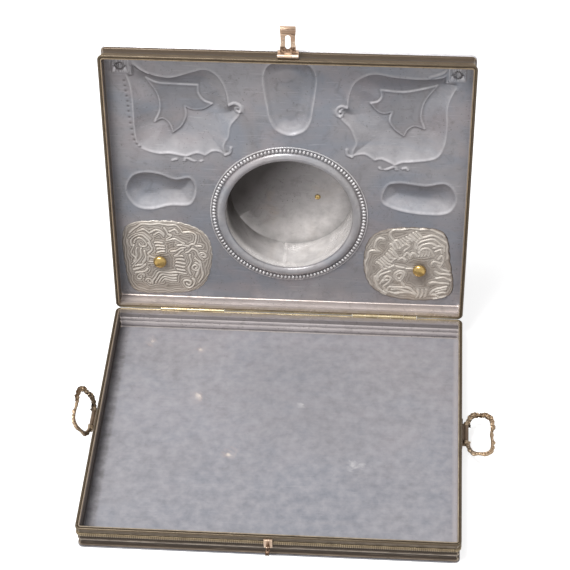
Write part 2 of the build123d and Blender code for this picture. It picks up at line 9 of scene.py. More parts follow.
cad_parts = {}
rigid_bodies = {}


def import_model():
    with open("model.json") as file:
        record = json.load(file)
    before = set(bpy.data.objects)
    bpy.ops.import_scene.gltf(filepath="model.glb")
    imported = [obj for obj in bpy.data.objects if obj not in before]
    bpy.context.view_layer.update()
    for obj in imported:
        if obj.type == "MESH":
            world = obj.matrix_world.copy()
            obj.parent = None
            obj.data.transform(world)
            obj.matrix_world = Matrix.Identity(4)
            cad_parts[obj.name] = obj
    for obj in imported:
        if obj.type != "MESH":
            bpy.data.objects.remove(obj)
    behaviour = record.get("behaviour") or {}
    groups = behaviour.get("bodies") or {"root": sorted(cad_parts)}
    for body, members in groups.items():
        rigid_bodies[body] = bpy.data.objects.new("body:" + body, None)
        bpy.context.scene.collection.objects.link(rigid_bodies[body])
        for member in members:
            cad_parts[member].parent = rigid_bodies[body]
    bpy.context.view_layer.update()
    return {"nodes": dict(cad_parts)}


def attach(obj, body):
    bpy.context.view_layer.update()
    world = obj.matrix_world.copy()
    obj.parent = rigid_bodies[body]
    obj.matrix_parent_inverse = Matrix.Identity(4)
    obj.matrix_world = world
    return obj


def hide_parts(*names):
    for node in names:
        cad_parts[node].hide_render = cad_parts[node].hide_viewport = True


# A silvered sheet-metal box for papers, standing open: its pressed lid carries a
# pearled seal drum, relief plates and knobs, and its tray two bail handles.
# Shapes are worked out in millimetres and turned into metres when a piece is finished.

MM = 0.001

# Sizes shared with the CAD part, in millimetres and degrees

HALF_WIDTH = 190.0
HALF_DEPTH = 156.0
TRAY_HEIGHT = 29.0
LID_HEIGHT = 23.0
OPEN_ANGLE = 98.3
HINGE_Y = 155.2546
HINGE_Z = 29.15
CORNER = 6.0
PLATE = 1.4
PLATE_SETBACK = 0.6
DRUM_U = 115.0
DRUM_BORE = 67.6
DRUM_OUTER = 68.8
DRUM_DEPTH = 45.0
DRUM_RIVET_X = 28.0
DRUM_RIVET_U = 109.0
RING_OUTER = 84.2
PEARL_CIRCLE = 80.2
PEARL_COUNT = 124
PIERCED_X = 171.0
PIERCED_U = 289.5
PIERCED_HOLE = 2.9
PIERCED_HALF_WIDTH = 9.0
PIERCED_HALF_DEPTH = 8.25
KNOB_X = 141.0
KNOB_U = 51.0
CATCH_X = 1.2
CATCH_OUT = 1.4
CATCH_BELOW_RIM = 6.0
HANDLE_X = 194.6
HANDLE_Z = 17.0
HANDLE_EYE_Y = 12.6
LEFT_LIFT = 55.0
STAPLE_Z = 20.1
STRIP_Z = 19.1
SIGN = {"left": -1, "right": 1}

HINGE = Vector((0, HINGE_Y, HINGE_Z))
LID = (Matrix.Translation(HINGE) @ Matrix.Rotation(math.radians(180 - OPEN_ANGLE), 4, "X")
       @ Matrix.Translation((0, HINGE_Y - HALF_DEPTH, TRAY_HEIGHT - LID_HEIGHT - HINGE_Z)))
CATCH = LID @ Matrix.Translation((CATCH_X, 2 * HALF_DEPTH + CATCH_OUT, LID_HEIGHT - CATCH_BELOW_RIM))


# Lines and distances, worked out on whole arrays of points

def arc_points(start, middle, end, steps):
    """Points of the arc from start through middle, without its end."""
    (ax, ay), (bx, by), (cx, cy) = start, middle, end
    d = 2 * (ax * (by - cy) + bx * (cy - ay) + cx * (ay - by))
    if abs(d) < 1e-6:
        return [(ax + (cx - ax) * i / steps, ay + (cy - ay) * i / steps) for i in range(steps)]
    aa, bb, cc = ax * ax + ay * ay, bx * bx + by * by, cx * cx + cy * cy
    ux = (aa * (by - cy) + bb * (cy - ay) + cc * (ay - by)) / d
    uy = (aa * (cx - bx) + bb * (ax - cx) + cc * (bx - ax)) / d
    radius = math.hypot(ax - ux, ay - uy)
    a0, a1, a2 = (math.atan2(y - uy, x - ux) for x, y in (start, middle, end))
    turn = (a2 - a0) % (2 * math.pi)
    if (a1 - a0) % (2 * math.pi) > turn:
        turn -= 2 * math.pi
    return [(ux + radius * math.cos(a0 + turn * i / steps), uy + radius * math.sin(a0 + turn * i / steps))
            for i in range(steps)]


def smooth(points, steps=8, closed=False):
    """A smooth line through the points."""
    points = [np.array(p, float) for p in points]
    count = len(points)
    line = []
    for i in range(count if closed else count - 1):
        if closed:
            a, b, c, d = (points[(i + k) % count] for k in (-1, 0, 1, 2))
        else:
            b, c = points[i], points[i + 1]
            a = points[i - 1] if i else 2 * b - c
            d = points[i + 2] if i + 2 < count else 2 * c - b
        for k in range(steps):
            t = k / steps
            line.append(0.5 * (2 * b + (c - a) * t + (2 * a - 5 * b + 4 * c - d) * t * t
                               + (3 * b - a - 3 * c + d) * t ** 3))
    line.append(line[0] if closed else points[-1])
    return np.array(line)


def closed(points):
    """The points as a line that ends where it starts."""
    return np.array(list(points) + [points[0]], float)


def away_from(points, line):
    """Each point's distance from a line of straight pieces."""
    best = np.full(len(points), 1e9)
    for a, b in zip(line[:-1], line[1:]):
        along = b - a
        t = np.clip(((points - a) @ along) / max(along @ along, 1e-12), 0, 1)
        best = np.minimum(best, ((points - a - t[:, None] * along) ** 2).sum(1))
    return np.sqrt(best)


def inside(points, line):
    """Which points a closed outline holds."""
    within = np.zeros(len(points), bool)
    x, y = points[:, 0], points[:, 1]
    for (ax, ay), (bx, by) in zip(line[:-1], line[1:]):
        if ay == by:
            continue
        crosses = (ay > y) != (by > y)
        within ^= crosses & (x < ax + (y - ay) * (bx - ax) / (by - ay))
    return within


def near_box(points, line, margin):
    """Numbers of the points in the box round a line."""
    low, high = line.min(0) - margin, line.max(0) + margin
    return np.flatnonzero(((points > low) & (points < high)).all(1))


def ridges(points, strokes):
    """How much rounded ridges raise each point. A stroke is its line, height and half width."""
    rise = np.zeros(len(points))
    for line, height, width in strokes:
        near = near_box(points, line, width)
        if len(near):
            share = np.clip(1 - (away_from(points[near], line) / width) ** 2, 0, 1)
            lift = abs(height) * share ** 0.8
            if height > 0:
                rise[near] = np.maximum(rise[near], lift)
            else:
                rise[near] -= lift
    return rise


def nearest_stroke(points, strokes):
    """Each point's distance from the nearest stroke."""
    best = np.full(len(points), 20.0)
    for line, _, _ in strokes:
        near = near_box(points, line, 12)
        if len(near):
            best[near] = np.minimum(best[near], away_from(points[near], line))
    return best


# Making pieces

def finished(name, bm, material, body, stands_for=(), place=None):
    """The piece made of this mesh: in metres, its faces outwards, on its body, and the parts it stands for
    hidden.
    """
    bmesh.ops.remove_doubles(bm, verts=bm.verts, dist=0.002)
    bmesh.ops.dissolve_degenerate(bm, dist=0.001, edges=bm.edges)
    if place is not None:
        bmesh.ops.transform(bm, matrix=place, verts=bm.verts)
    bmesh.ops.scale(bm, vec=(MM, MM, MM), verts=bm.verts)
    bmesh.ops.recalc_face_normals(bm, faces=bm.faces)
    for face in bm.faces:
        face.smooth = True
    mesh = bpy.data.meshes.new(name)
    bm.to_mesh(mesh)
    bm.free()
    mesh.materials.append(material)
    piece = bpy.data.objects.new(name, mesh)
    bpy.context.scene.collection.objects.link(piece)
    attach(piece, body)
    if stands_for:
        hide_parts(*stands_for)
    return piece


def crisp(piece, degrees=40):
    """Keep a piece's edges sharper than this angle crisp."""
    bm = bmesh.new()
    bm.from_mesh(piece.data)
    for edge in bm.edges:
        edge.smooth = not (len(edge.link_faces) == 2 and edge.calc_face_angle() > math.radians(degrees))
    bm.to_mesh(piece.data)
    bm.free()
    return piece


def formed_grid(bm, columns, rows, place):
    """A grid whose corner in column i and row j is put at place(i, j)."""
    made = bmesh.ops.create_grid(bm, x_segments=columns, y_segments=rows, size=1.0)["verts"]
    for vert in made:
        i = round((vert.co.x + 1) / 2 * columns)
        j = round((vert.co.y + 1) / 2 * rows)
        vert.co = place(i, j)
    return made


def loop(bm, points):
    """A closed loop of edges through the points."""
    verts = bmesh.ops.create_circle(bm, segments=len(points), radius=1)["verts"]
    for vert, point in zip(verts, points):
        vert.co = point
    edges = list({edge for vert in verts for edge in vert.link_edges})
    return verts, edges


def turned(bm, profile, steps):
    """A solid turned about Z, from its closed profile of radius and height."""
    verts, edges = loop(bm, [(r, 0, z) for r, z in profile])
    bmesh.ops.spin(bm, geom=verts + edges, axis=(0, 0, 1), cent=(0, 0, 0), dvec=(0, 0, 0),
                   angle=2 * math.pi, steps=steps, use_merge=True, use_duplicate=False)
    bmesh.ops.remove_doubles(bm, verts=bm.verts, dist=0.002)
    bmesh.ops.dissolve_degenerate(bm, dist=0.001, edges=bm.edges)


def prism(bm, outline, depth):
    """A flat solid of this outline in XY, from Z 0 up to its depth."""
    verts = loop(bm, [(x, y, 0) for x, y in outline])[0]
    faces = bmesh.ops.contextual_create(bm, geom=verts)["faces"]
    made = bmesh.ops.extrude_face_region(bm, geom=faces)["geom"]
    top = [item for item in made if isinstance(item, bmesh.types.BMVert)]
    bmesh.ops.translate(bm, vec=(0, 0, depth), verts=top)


def soften(bm, width, segments=2, degrees=35):
    """Round off every edge sharper than this angle."""
    bmesh.ops.recalc_face_normals(bm, faces=bm.faces)
    sharp = [e for e in bm.edges if len(e.link_faces) == 2 and e.calc_face_angle() > math.radians(degrees)]
    bmesh.ops.bevel(bm, geom=sharp, offset=width, segments=segments, profile=0.5, affect="EDGES", material=-1)


def add_mesh(bm, part):
    """Put one mesh into another."""
    mesh = bpy.data.meshes.new("part")
    part.to_mesh(mesh)
    part.free()
    bm.from_mesh(mesh)
    bpy.data.meshes.remove(mesh)


def turn_about(bm, verts, angle, axis):
    """Turn vertices about an axis through the origin."""
    bmesh.ops.rotate(bm, cent=(0, 0, 0), matrix=Matrix.Rotation(angle, 3, axis), verts=verts)


def rod(segments, radius, length, axis, softened=0.0):
    """A round rod about the origin, laid down by a quarter turn about an axis."""
    bm = bmesh.new()
    bmesh.ops.create_cone(bm, cap_ends=True, segments=segments, radius1=radius, radius2=radius, depth=length)
    if softened:
        soften(bm, softened)
    turn_about(bm, bm.verts, math.pi / 2, axis)
    return bm


def block(size, middle, softened=0.0, segments=2):
    """A block of this size about its middle, its edges rounded off where softened is given."""
    bm = bmesh.new()
    bmesh.ops.create_cube(bm, size=1)
    bmesh.ops.scale(bm, vec=size, verts=bm.verts)
    if softened:
        soften(bm, softened, segments)
    bmesh.ops.translate(bm, vec=middle, verts=bm.verts)
    return bm


def moulding_path(inset, step):
    """Points and outward directions round the box, at this distance inside its outermost faces."""
    radius = CORNER - inset
    path = []
    for cx, cy, start in ((1, -1, -90), (1, 1, 0), (-1, 1, 90), (-1, -1, 180)):
        centre = (cx * (HALF_WIDTH - CORNER), cy * (HALF_DEPTH - CORNER))
        for k in range(7):
            angle = math.radians(start + 15 * k)
            out = (math.cos(angle), math.sin(angle))
            path.append((centre[0] + radius * out[0], centre[1] + radius * out[1], out))
        length = 2 * ((HALF_DEPTH if cx * cy < 0 else HALF_WIDTH) - CORNER)
        out = path[-1][2]
        along = (-out[1], out[0])
        base = path[-1]
        for k in range(1, max(1, round(length / step))):
            t = length * k / round(length / step)
            path.append((base[0] + along[0] * t, base[1] + along[1] * t, out))
    return path


# Lid panel

TOP_HOLLOW = [(1.5, 300), (15.5, 298.5), (25, 292), (28.5, 280), (27, 261), (24.5, 244), (22.5, 231),
              (16, 219), (1.5, 213.2), (-12.5, 219.5), (-19, 232), (-21.5, 246), (-24, 262), (-25.5, 280),
              (-22, 292), (-12.5, 298.5)]
LEFT_HOLLOW = [(-173.6, 139.7), (-166.2, 157.5), (-152.1, 162.9), (-136.2, 161.1), (-120.5, 155.4),
               (-104.5, 157.3), (-98.7, 143.8), (-105.8, 124.7), (-127.3, 122.6), (-149.1, 116.7),
               (-165, 121.2)]
RIGHT_HOLLOW = [(98.5, 136.3), (103.2, 155.1), (116.7, 159.3), (143, 156.6), (163.7, 159.8), (174.6, 149.2),
                (175.4, 134.3), (165.4, 122.6), (139, 121.6), (112.4, 126.8)]
LEFT_CARTOUCHE = [
    [(-172, 296.5), (-162, 296.8), (-150.6, 286.6), (-138.7, 280.1), (-120.4, 277.2), (-99.7, 283.6),
     (-86, 287.5), (-75, 283.5), (-67, 273), (-62.6, 259.4), (-61.1, 246)],
    [(-61.1, 246), (-55, 247.5), (-49.6, 244.7), (-51, 236), (-56, 229), (-60.5, 221.9), (-62.9, 208.7),
     (-66, 203), (-68, 196), (-66.6, 188.1)],
    [(-66.6, 188.1), (-73, 191.5), (-80.1, 191.2), (-87.7, 186.1)],
    [(-87.7, 186.1), (-93, 188.3), (-98.1, 188.2), (-107.7, 184.2)],
    [(-107.7, 184.2), (-124.4, 187.2), (-135, 186.5), (-145.4, 188.9), (-154, 193), (-159, 202),
     (-160.3, 223.3), (-160.4, 248), (-162, 268), (-168, 284), (-176, 294)],
]
RIGHT_CARTOUCHE = [
    [(174.6, 296.8), (163, 290), (153.1, 284.8), (133.1, 283), (107.9, 284.5), (90, 287.5), (77.7, 284.7),
     (67, 276), (62, 262), (60.5, 247.5)],
    [(60.5, 247.5), (56, 246), (52, 240.5), (56, 233), (63.4, 225), (68, 215), (70.5, 205), (67.5, 197),
     (66, 190.6)],
    [(66, 190.6), (74, 193), (81, 192.8), (90, 186.4)],
    [(90, 186.4), (95, 188), (100.3, 186.8), (110.9, 181.1)],
    [(110.9, 181.1), (118, 184.5), (126.3, 185.3), (146.9, 188.5), (156, 194), (161, 207), (162.7, 228.4),
     (162, 250), (167, 268), (175, 280), (181, 285)],
]
LEFT_FIELD = [
    [(-146, 273), (-134, 267.5), (-113, 266.5), (-93, 266)],
    [(-93, 266), (-92.5, 256), (-87, 248), (-79, 244.5)],
    [(-79, 244.5), (-88, 238.5), (-99, 237.5), (-107, 241)],
    [(-107, 241), (-106.5, 229), (-112, 217), (-120.5, 209.5)],
    [(-120.5, 209.5), (-124, 220), (-131, 225.5), (-139.5, 221.5)],
    [(-139.5, 221.5), (-133.5, 236), (-135, 254), (-146, 273)],
]
RIGHT_FIELD = [
    [(151, 273), (136, 268.5), (117, 264.5), (94, 266)],
    [(94, 266), (95, 258), (91, 252.5), (84, 250.5)],
    [(84, 250.5), (91, 242), (98, 239), (106, 241)],
    [(106, 241), (104, 230), (110, 220), (119, 213)],
    [(119, 213), (123, 221), (130, 225), (140, 222)],
    [(140, 222), (136, 236), (139, 254), (151, 273)],
]
LEFT_CURLS = [
    [(-61, 247), (-55, 249.5), (-49, 246), (-48.5, 240.5), (-52.5, 239), (-54.5, 242.5), (-51.5, 244)],
    [(-161, 293), (-152, 286), (-143, 281)],
    [(-108.6, 181.2), (-109.5, 178), (-114, 174.5), (-121, 174.5), (-122, 178.5), (-118, 180)],
    [(-106.2, 181.6), (-101, 179), (-95, 176.5), (-91, 179)],
    [(-66, 187), (-61, 190), (-60, 196)],
]
RIGHT_CURLS = [
    [(60.5, 248), (54, 249), (49.5, 244.5), (50, 238.5), (54.5, 237.5), (56, 241), (53, 243)],
    [(160, 293), (152, 288.5), (143, 285.5)],
    [(111.6, 178.2), (112.6, 175), (118, 171.5), (124, 173), (123, 177.5), (119, 177)],
    [(109.4, 178.8), (104, 176), (98, 174), (95, 177)],
    [(66, 189), (61, 192), (60.5, 198)],
]
PUNCHED = [(-168, 272), (-167.2, 266), (-166.6, 260), (-166, 254), (-165.6, 248), (-165.2, 242),
           (-165, 236), (-164.6, 229), (-164, 222), (-163.2, 215), (-162.4, 208), (-161, 202),
           (-158.5, 197), (-155, 193.5)]
HOLLOW_DEPTH = 5.6
PRESS_DEPTH = 6.6


def joined(runs, steps=6):
    """A closed line of smooth runs that meet in points."""
    return np.vstack([smooth(run, steps)[:-1] for run in runs] + [np.array([runs[0][0]], float)])


def bell(away, width):
    """1 where away is nothing, falling off softly to both sides."""
    return np.exp(-(away / width) ** 2)


def panel_form(points):
    """How far the lid's sheet is pressed out at each point of its plan, and its marks: ridges and rims polished
    bright, punched dots darkened, and painted shade in the darker fields and the dark bands beside raised lines.
    """
    sink, wear_and_painted_light = np.zeros(len(points)), np.zeros(len(points))
    for outline, slope, power in ((TOP_HOLLOW, 15, 1.7), (LEFT_HOLLOW, 18, 1.8), (RIGHT_HOLLOW, 18, 1.8)):
        line = smooth(outline, closed=True)
        near = near_box(points, line, 5)
        away = away_from(points[near], line)
        within = inside(points[near], line)
        share = np.where(within, np.clip(away / slope, 0, 1), 0)
        sink[near] += HOLLOW_DEPTH * (1 - (1 - share) ** power) - 0.45 * bell(away, 1.3)
        # Painted shade: a dark band just inside each hollow's rim. The rim itself is polished bright.
        wear_and_painted_light[near] += 0.28 * bell(away, 1.1) - 0.12 * within * bell(away - 3, 1.6)
    for outline, field, curls in ((LEFT_CARTOUCHE, LEFT_FIELD, LEFT_CURLS),
                                  (RIGHT_CARTOUCHE, RIGHT_FIELD, RIGHT_CURLS)):
        line, inner = joined(outline), joined(field)
        near = near_box(points, line, 6)
        plan = points[near]
        away, from_field = away_from(plan, line), away_from(plan, inner)
        within, in_field = inside(plan, line), inside(plan, inner)
        share = away / (away + from_field + 1e-9)
        bowl = PRESS_DEPTH * (1 - (1 - share) ** 1.7)
        raised = PRESS_DEPTH - 0.9 * np.clip(from_field / 1.2, 0, 1)
        depth = np.where(in_field, raised, np.where(within, bowl, 0))
        sink[near] += depth - 1.1 * bell(from_field, 0.95) - 0.5 * bell(away, 1.3)
        curled = ridges(plan, drawn(curls, 0.9, 1.7))
        sink[near] -= curled
        # Painted shade: the field is darker, with a dark band on each side of the field line. The raised lines
        # are polished bright.
        wear_and_painted_light[near] += (0.45 * bell(from_field, 0.8) + 0.3 * bell(away, 1.0) + 0.3 * curled
                       - 0.22 * in_field - 0.2 * bell(from_field - 2.2, 1.0))
    for x, u in PUNCHED:
        away = np.hypot(points[:, 0] - x, points[:, 1] - u)
        sink += 0.8 * bell(away, 1.2)
        wear_and_painted_light -= 0.8 * bell(away, 1.1)
    # the sheet stays flat under the corner plates
    clear = np.maximum(PIERCED_X - 10.5 - np.abs(points[:, 0]), PIERCED_U - 10 - points[:, 1])
    flat = np.clip(clear / 2.5, 0, 1)
    return sink * flat, np.clip(wear_and_painted_light, -0.8, 0.6) * flat


def refine(bm, holds, cuts):
    """Divide the grid's cells whose middle is held."""
    faces = [f for f in bm.faces if len(f.verts) == 4 and holds(f.calc_center_median())]
    edges = list({edge for face in faces for edge in face.edges})
    bmesh.ops.subdivide_edges(bm, edges=edges, cuts=cuts, use_grid_fill=True)


def in_boxes(boxes):
    """Whether a point is in one of the plan's boxes, each low x, low u, high x, high u."""
    def holds(point):
        return any(x0 < point.x < x1 and u0 < point.y < u1 for x0, u0, x1, u1 in boxes)
    return holds


FINE_BOXES = [(48, 172, 170, 281), (48, 281, 163, 294), (-170, 172, -48, 281), (-163, 281, -48, 294)]
MEDIUM_BOXES = [(-30, 210, 33, 304), (-178, 112, -94, 167), (94, 112, 180, 167)]
HOLE_BOXES = [(x - 6, PIERCED_U - 6, x + 6, PIERCED_U + 6) for x in (PIERCED_X, -PIERCED_X)]
CELL = 3.2  # the coarse cells of the sheet's grid


def sheet_side(bm, level, fine, medium):
    """One face of the lid's sheet, with its openings cut and its hollows pressed."""
    side = bmesh.new()
    width, depth = HALF_WIDTH - PLATE_SETBACK, HALF_DEPTH - PLATE_SETBACK
    columns, rows = round(2 * width / CELL), round(2 * depth / CELL)
    formed_grid(side, columns, rows,
                lambda i, j: (width * (2 * i / columns - 1), depth * (2 * j / rows - 1) + HALF_DEPTH, 0))
    refine(side, in_boxes(HOLE_BOXES), 3)
    refine(side, in_boxes(FINE_BOXES), fine)
    refine(side, in_boxes(MEDIUM_BOXES), medium)
    openings = [(0, DRUM_U, DRUM_OUTER)] + [(x, PIERCED_U, PIERCED_HOLE) for x in (-PIERCED_X, PIERCED_X)]
    for x, u, radius in openings:
        middles = [(face, face.calc_center_median()) for face in side.faces]
        gone = [face for face, middle in middles if math.hypot(middle.x - x, middle.y - u) < radius]
        bmesh.ops.delete(side, geom=gone, context="FACES")
        for vert in side.verts:
            away = math.hypot(vert.co.x - x, vert.co.y - u)
            if vert.is_boundary and 0 < away < radius + 5:
                vert.co.x = x + (vert.co.x - x) * radius / away
                vert.co.y = u + (vert.co.y - u) * radius / away
    plan = np.array([vert.co.xy for vert in side.verts])
    sink, wear_and_painted_light = panel_form(plan)
    layer = side.verts.layers.float.new("wear_and_painted_light")
    corner = CORNER - PLATE_SETBACK
    for vert, drop, mark in zip(side.verts, sink, wear_and_painted_light):
        vert[layer] = mark if fine > 1 else 0.0
        dx = abs(vert.co.x) - (width - corner)
        dy = abs(vert.co.y - HALF_DEPTH) - (depth - corner)
        if dx > 0 and dy > 0:
            shrink = max(dx, dy) / math.hypot(dx, dy)
            vert.co.x = math.copysign(width - corner + dx * shrink, vert.co.x)
            vert.co.y = HALF_DEPTH + math.copysign(depth - corner + dy * shrink, vert.co.y - HALF_DEPTH)
        vert.co.z = level - drop
    # Painted light and shade: slopes of the pressing that face upwards when the lid stands open are marked
    # lighter, and those facing downwards darker.
    if fine > 1:
        side.normal_update()
        for vert in side.verts:
            tilt = vert.normal.y * math.copysign(1, vert.normal.z)
            vert[layer] += (1.2 if tilt > 0 else 0.7) * tilt
    mesh = bpy.data.meshes.new("side")
    side.to_mesh(mesh)
    side.free()
    bm.from_mesh(mesh)
    bpy.data.meshes.remove(mesh)


def pressed_panel(material):
    """The lid's pressed panel: its hollows and cartouches, one sheet with an edge all round."""
    bm = bmesh.new()
    bm.verts.layers.float.new("wear_and_painted_light")
    sheet_side(bm, PLATE, 3, 2)
    sheet_side(bm, 0, 1, 1)
    rims = {}
    for edge in bm.edges:
        if edge.is_boundary:
            middle = (edge.verts[0].co + edge.verts[1].co) / 2
            if math.hypot(middle.x, middle.y - DRUM_U) < DRUM_OUTER + 3:
                key = "drum"
            elif abs(middle.y - PIERCED_U) < 6 and abs(abs(middle.x) - PIERCED_X) < 6:
                key = "left" if middle.x < 0 else "right"
            else:
                key = "outer"
            rims.setdefault(key, []).append(edge)
    for edges in rims.values():
        bmesh.ops.bridge_loops(bm, edges=edges)
    return finished("pressed_lid_panel", bm, material, "lid", ["lid_panel"], place=LID)


# Ornament plates

RIGHT_PLATE = [(81, 51), (84.7, 83.7), (102.5, 99.8), (139.7, 103.9), (166.5, 97.3), (173.5, 61.4),
               (177.5, 21.9), (154, 10.1), (115.7, 11.2), (90.2, 24.8)]
LEFT_PLATE = [(-177.5, 92.5), (-139.1, 101.8), (-112.2, 99), (-91, 87), (-84.1, 63.8), (-89.5, 30.5),
              (-104.5, 12.4), (-138.1, 6.9), (-171.3, 9.5), (-179.6, 40)]
ECHO_PITCH = 2.9
ECHO_HEIGHT = 0.62


def scroll(x, u, start_radius, end_radius, start, turn, steps=24):
    """A spiral line about a point: angles in degrees."""
    line = []
    for k in range(steps + 1):
        t = k / steps
        radius = start_radius + (end_radius - start_radius) * t
        angle = math.radians(start + turn * t)
        line.append((x + radius * math.cos(angle), u + radius * math.sin(angle)))
    return np.array(line)


def scalloped(line, bulge=0.9):
    """The closed line with a small arc, bulging outwards, over each of its lengths."""
    middle = (line.min(0) + line.max(0)) / 2
    made = []
    for start, end in zip(line[:-1], line[1:]):
        halfway = (start + end) / 2
        crown = halfway + (halfway - middle) / np.linalg.norm(halfway - middle) * bulge
        made += arc_points(tuple(start), tuple(crown), tuple(end), 5)
    return closed(made)


def border_line(outline, inset):
    """The outline drawn in towards its middle."""
    middle = (outline.min(0) + outline.max(0)) / 2
    reach = (outline.max(0) - outline.min(0)) / 2
    return middle + (outline - middle) * (1 - inset / reach)


def drawn(lines, height, width):
    """A ridge along each smooth line."""
    return [(smooth(line, 6), height, width) for line in lines]


def combed(start, end, count, lean, length, height, width):
    """Short ribs side by side from start to end, each leaning by an angle in degrees."""
    strokes = []
    dx, du = length * math.cos(math.radians(lean)) / 2, length * math.sin(math.radians(lean)) / 2
    for k in range(count):
        t = k / max(1, count - 1)
        x, u = start[0] + (end[0] - start[0]) * t, start[1] + (end[1] - start[1]) * t
        bend = 0.12 * length
        strokes.append((smooth([(x - dx, u - du), (x + bend * 0.5, u), (x + dx, u + du)], 4), height, width))
    return strokes


def left_ornament(outline):
    """The left plate: a C-scroll over leaf arcs, combs by the knob, nested arcs and scrolls at the right."""
    strokes = [(border_line(outline, 2.4), 0.45, 0.7)]
    strokes += drawn([
        [(-174, 86), (-167, 93), (-155, 97.5), (-137, 98), (-123, 97.5), (-118, 93), (-116, 88)],
        [(-116, 88), (-107, 90), (-102, 86), (-101, 78), (-102, 72), (-96, 72)],
    ], 1.3, 1.0)
    strokes += [(scroll(-161, 72, 11.5, 10.5, 190, -200), 1.2, 1.1),
                (scroll(-161, 72, 8, 3, 170, -320), 1.2, 1.0),
                (scroll(-161, 72, 14.5, 13, 150, -120), 0.9, 0.9)]
    strokes += drawn([
        [(-170, 70), (-172, 60), (-168, 52), (-172, 46)],
        [(-166, 66), (-167, 57), (-171, 50)],
        [(-161, 65), (-162, 57), (-167, 48), (-171, 42)],
        [(-157, 62), (-157, 55), (-160, 48)],
        [(-171, 38), (-163, 39.5), (-157, 45)],
        [(-170, 34), (-161, 34.5), (-155, 40)],
        [(-168, 43), (-161, 44), (-158, 51)],
        [(-153, 74), (-150, 66), (-153, 58), (-147, 55)],
    ], 1.3, 1.15)
    strokes += combed((-141, 74), (-140, 62), 4, 8, 8.5, 1.2, 1.0)
    strokes += combed((-120, 57), (-118, 35), 6, 0, 9, 1.1, 1.0)
    strokes += drawn([
        [(-165, 88.5), (-158, 90), (-152, 87)],
        [(-150, 88), (-144, 91), (-139, 89), (-136, 85)],
        [(-147, 84.5), (-141, 87), (-136, 83)],
        [(-134, 93), (-132, 87), (-127, 84), (-132, 80)],
        [(-130, 90), (-124, 92), (-121, 87)],
        [(-132, 78), (-123, 79), (-113, 75)],
        [(-128, 64), (-122, 64), (-118, 68), (-113, 70)],
        [(-122, 71), (-115, 73), (-108, 70)],
        [(-125, 58), (-120, 60), (-116, 66)],
        [(-112, 63), (-106, 67), (-101, 64), (-98, 59), (-95, 54)],
        [(-110, 70), (-104, 73), (-100, 70)],
        [(-98, 51), (-95, 42), (-96, 32), (-99, 23)],
        [(-102, 55), (-98, 48), (-99, 38), (-103, 30)],
        [(-108, 60), (-107, 52), (-110, 44), (-108, 34)],
    ], 1.25, 1.1)
    strokes += [(scroll(-93.5, 59.5, 4.5, 1.0, 200, -480), 1.2, 1.0),
                (scroll(-103, 43, 5.5, 1.5, 90, -520), 1.2, 1.0),
                (scroll(-111, 22, 7.5, 1.5, 60, -560), 1.3, 1.1),
                (scroll(-164, 28, 4.6, 1.2, 0, 420), 1.1, 1.0),
                (scroll(-154, 22, 4.0, 1.2, 180, -400), 1.0, 0.9)]
    for reach, level in ((14, 1.25), (10.5, 1.2), (7, 1.2), (3.8, 1.1)):
        arc = scroll(-136, 22, reach, reach, 185, -95, 12)
        tail = np.array([(arc[-1][0] + 12, arc[-1][1] - 1.0)])
        strokes.append((np.vstack([arc, tail]), level, 1.1))
    strokes += drawn([[(-153, 55.5), (-144, 55)], [(-154, 55), (-155, 50), (-149, 49.5)]], 1.0, 0.9)
    return strokes


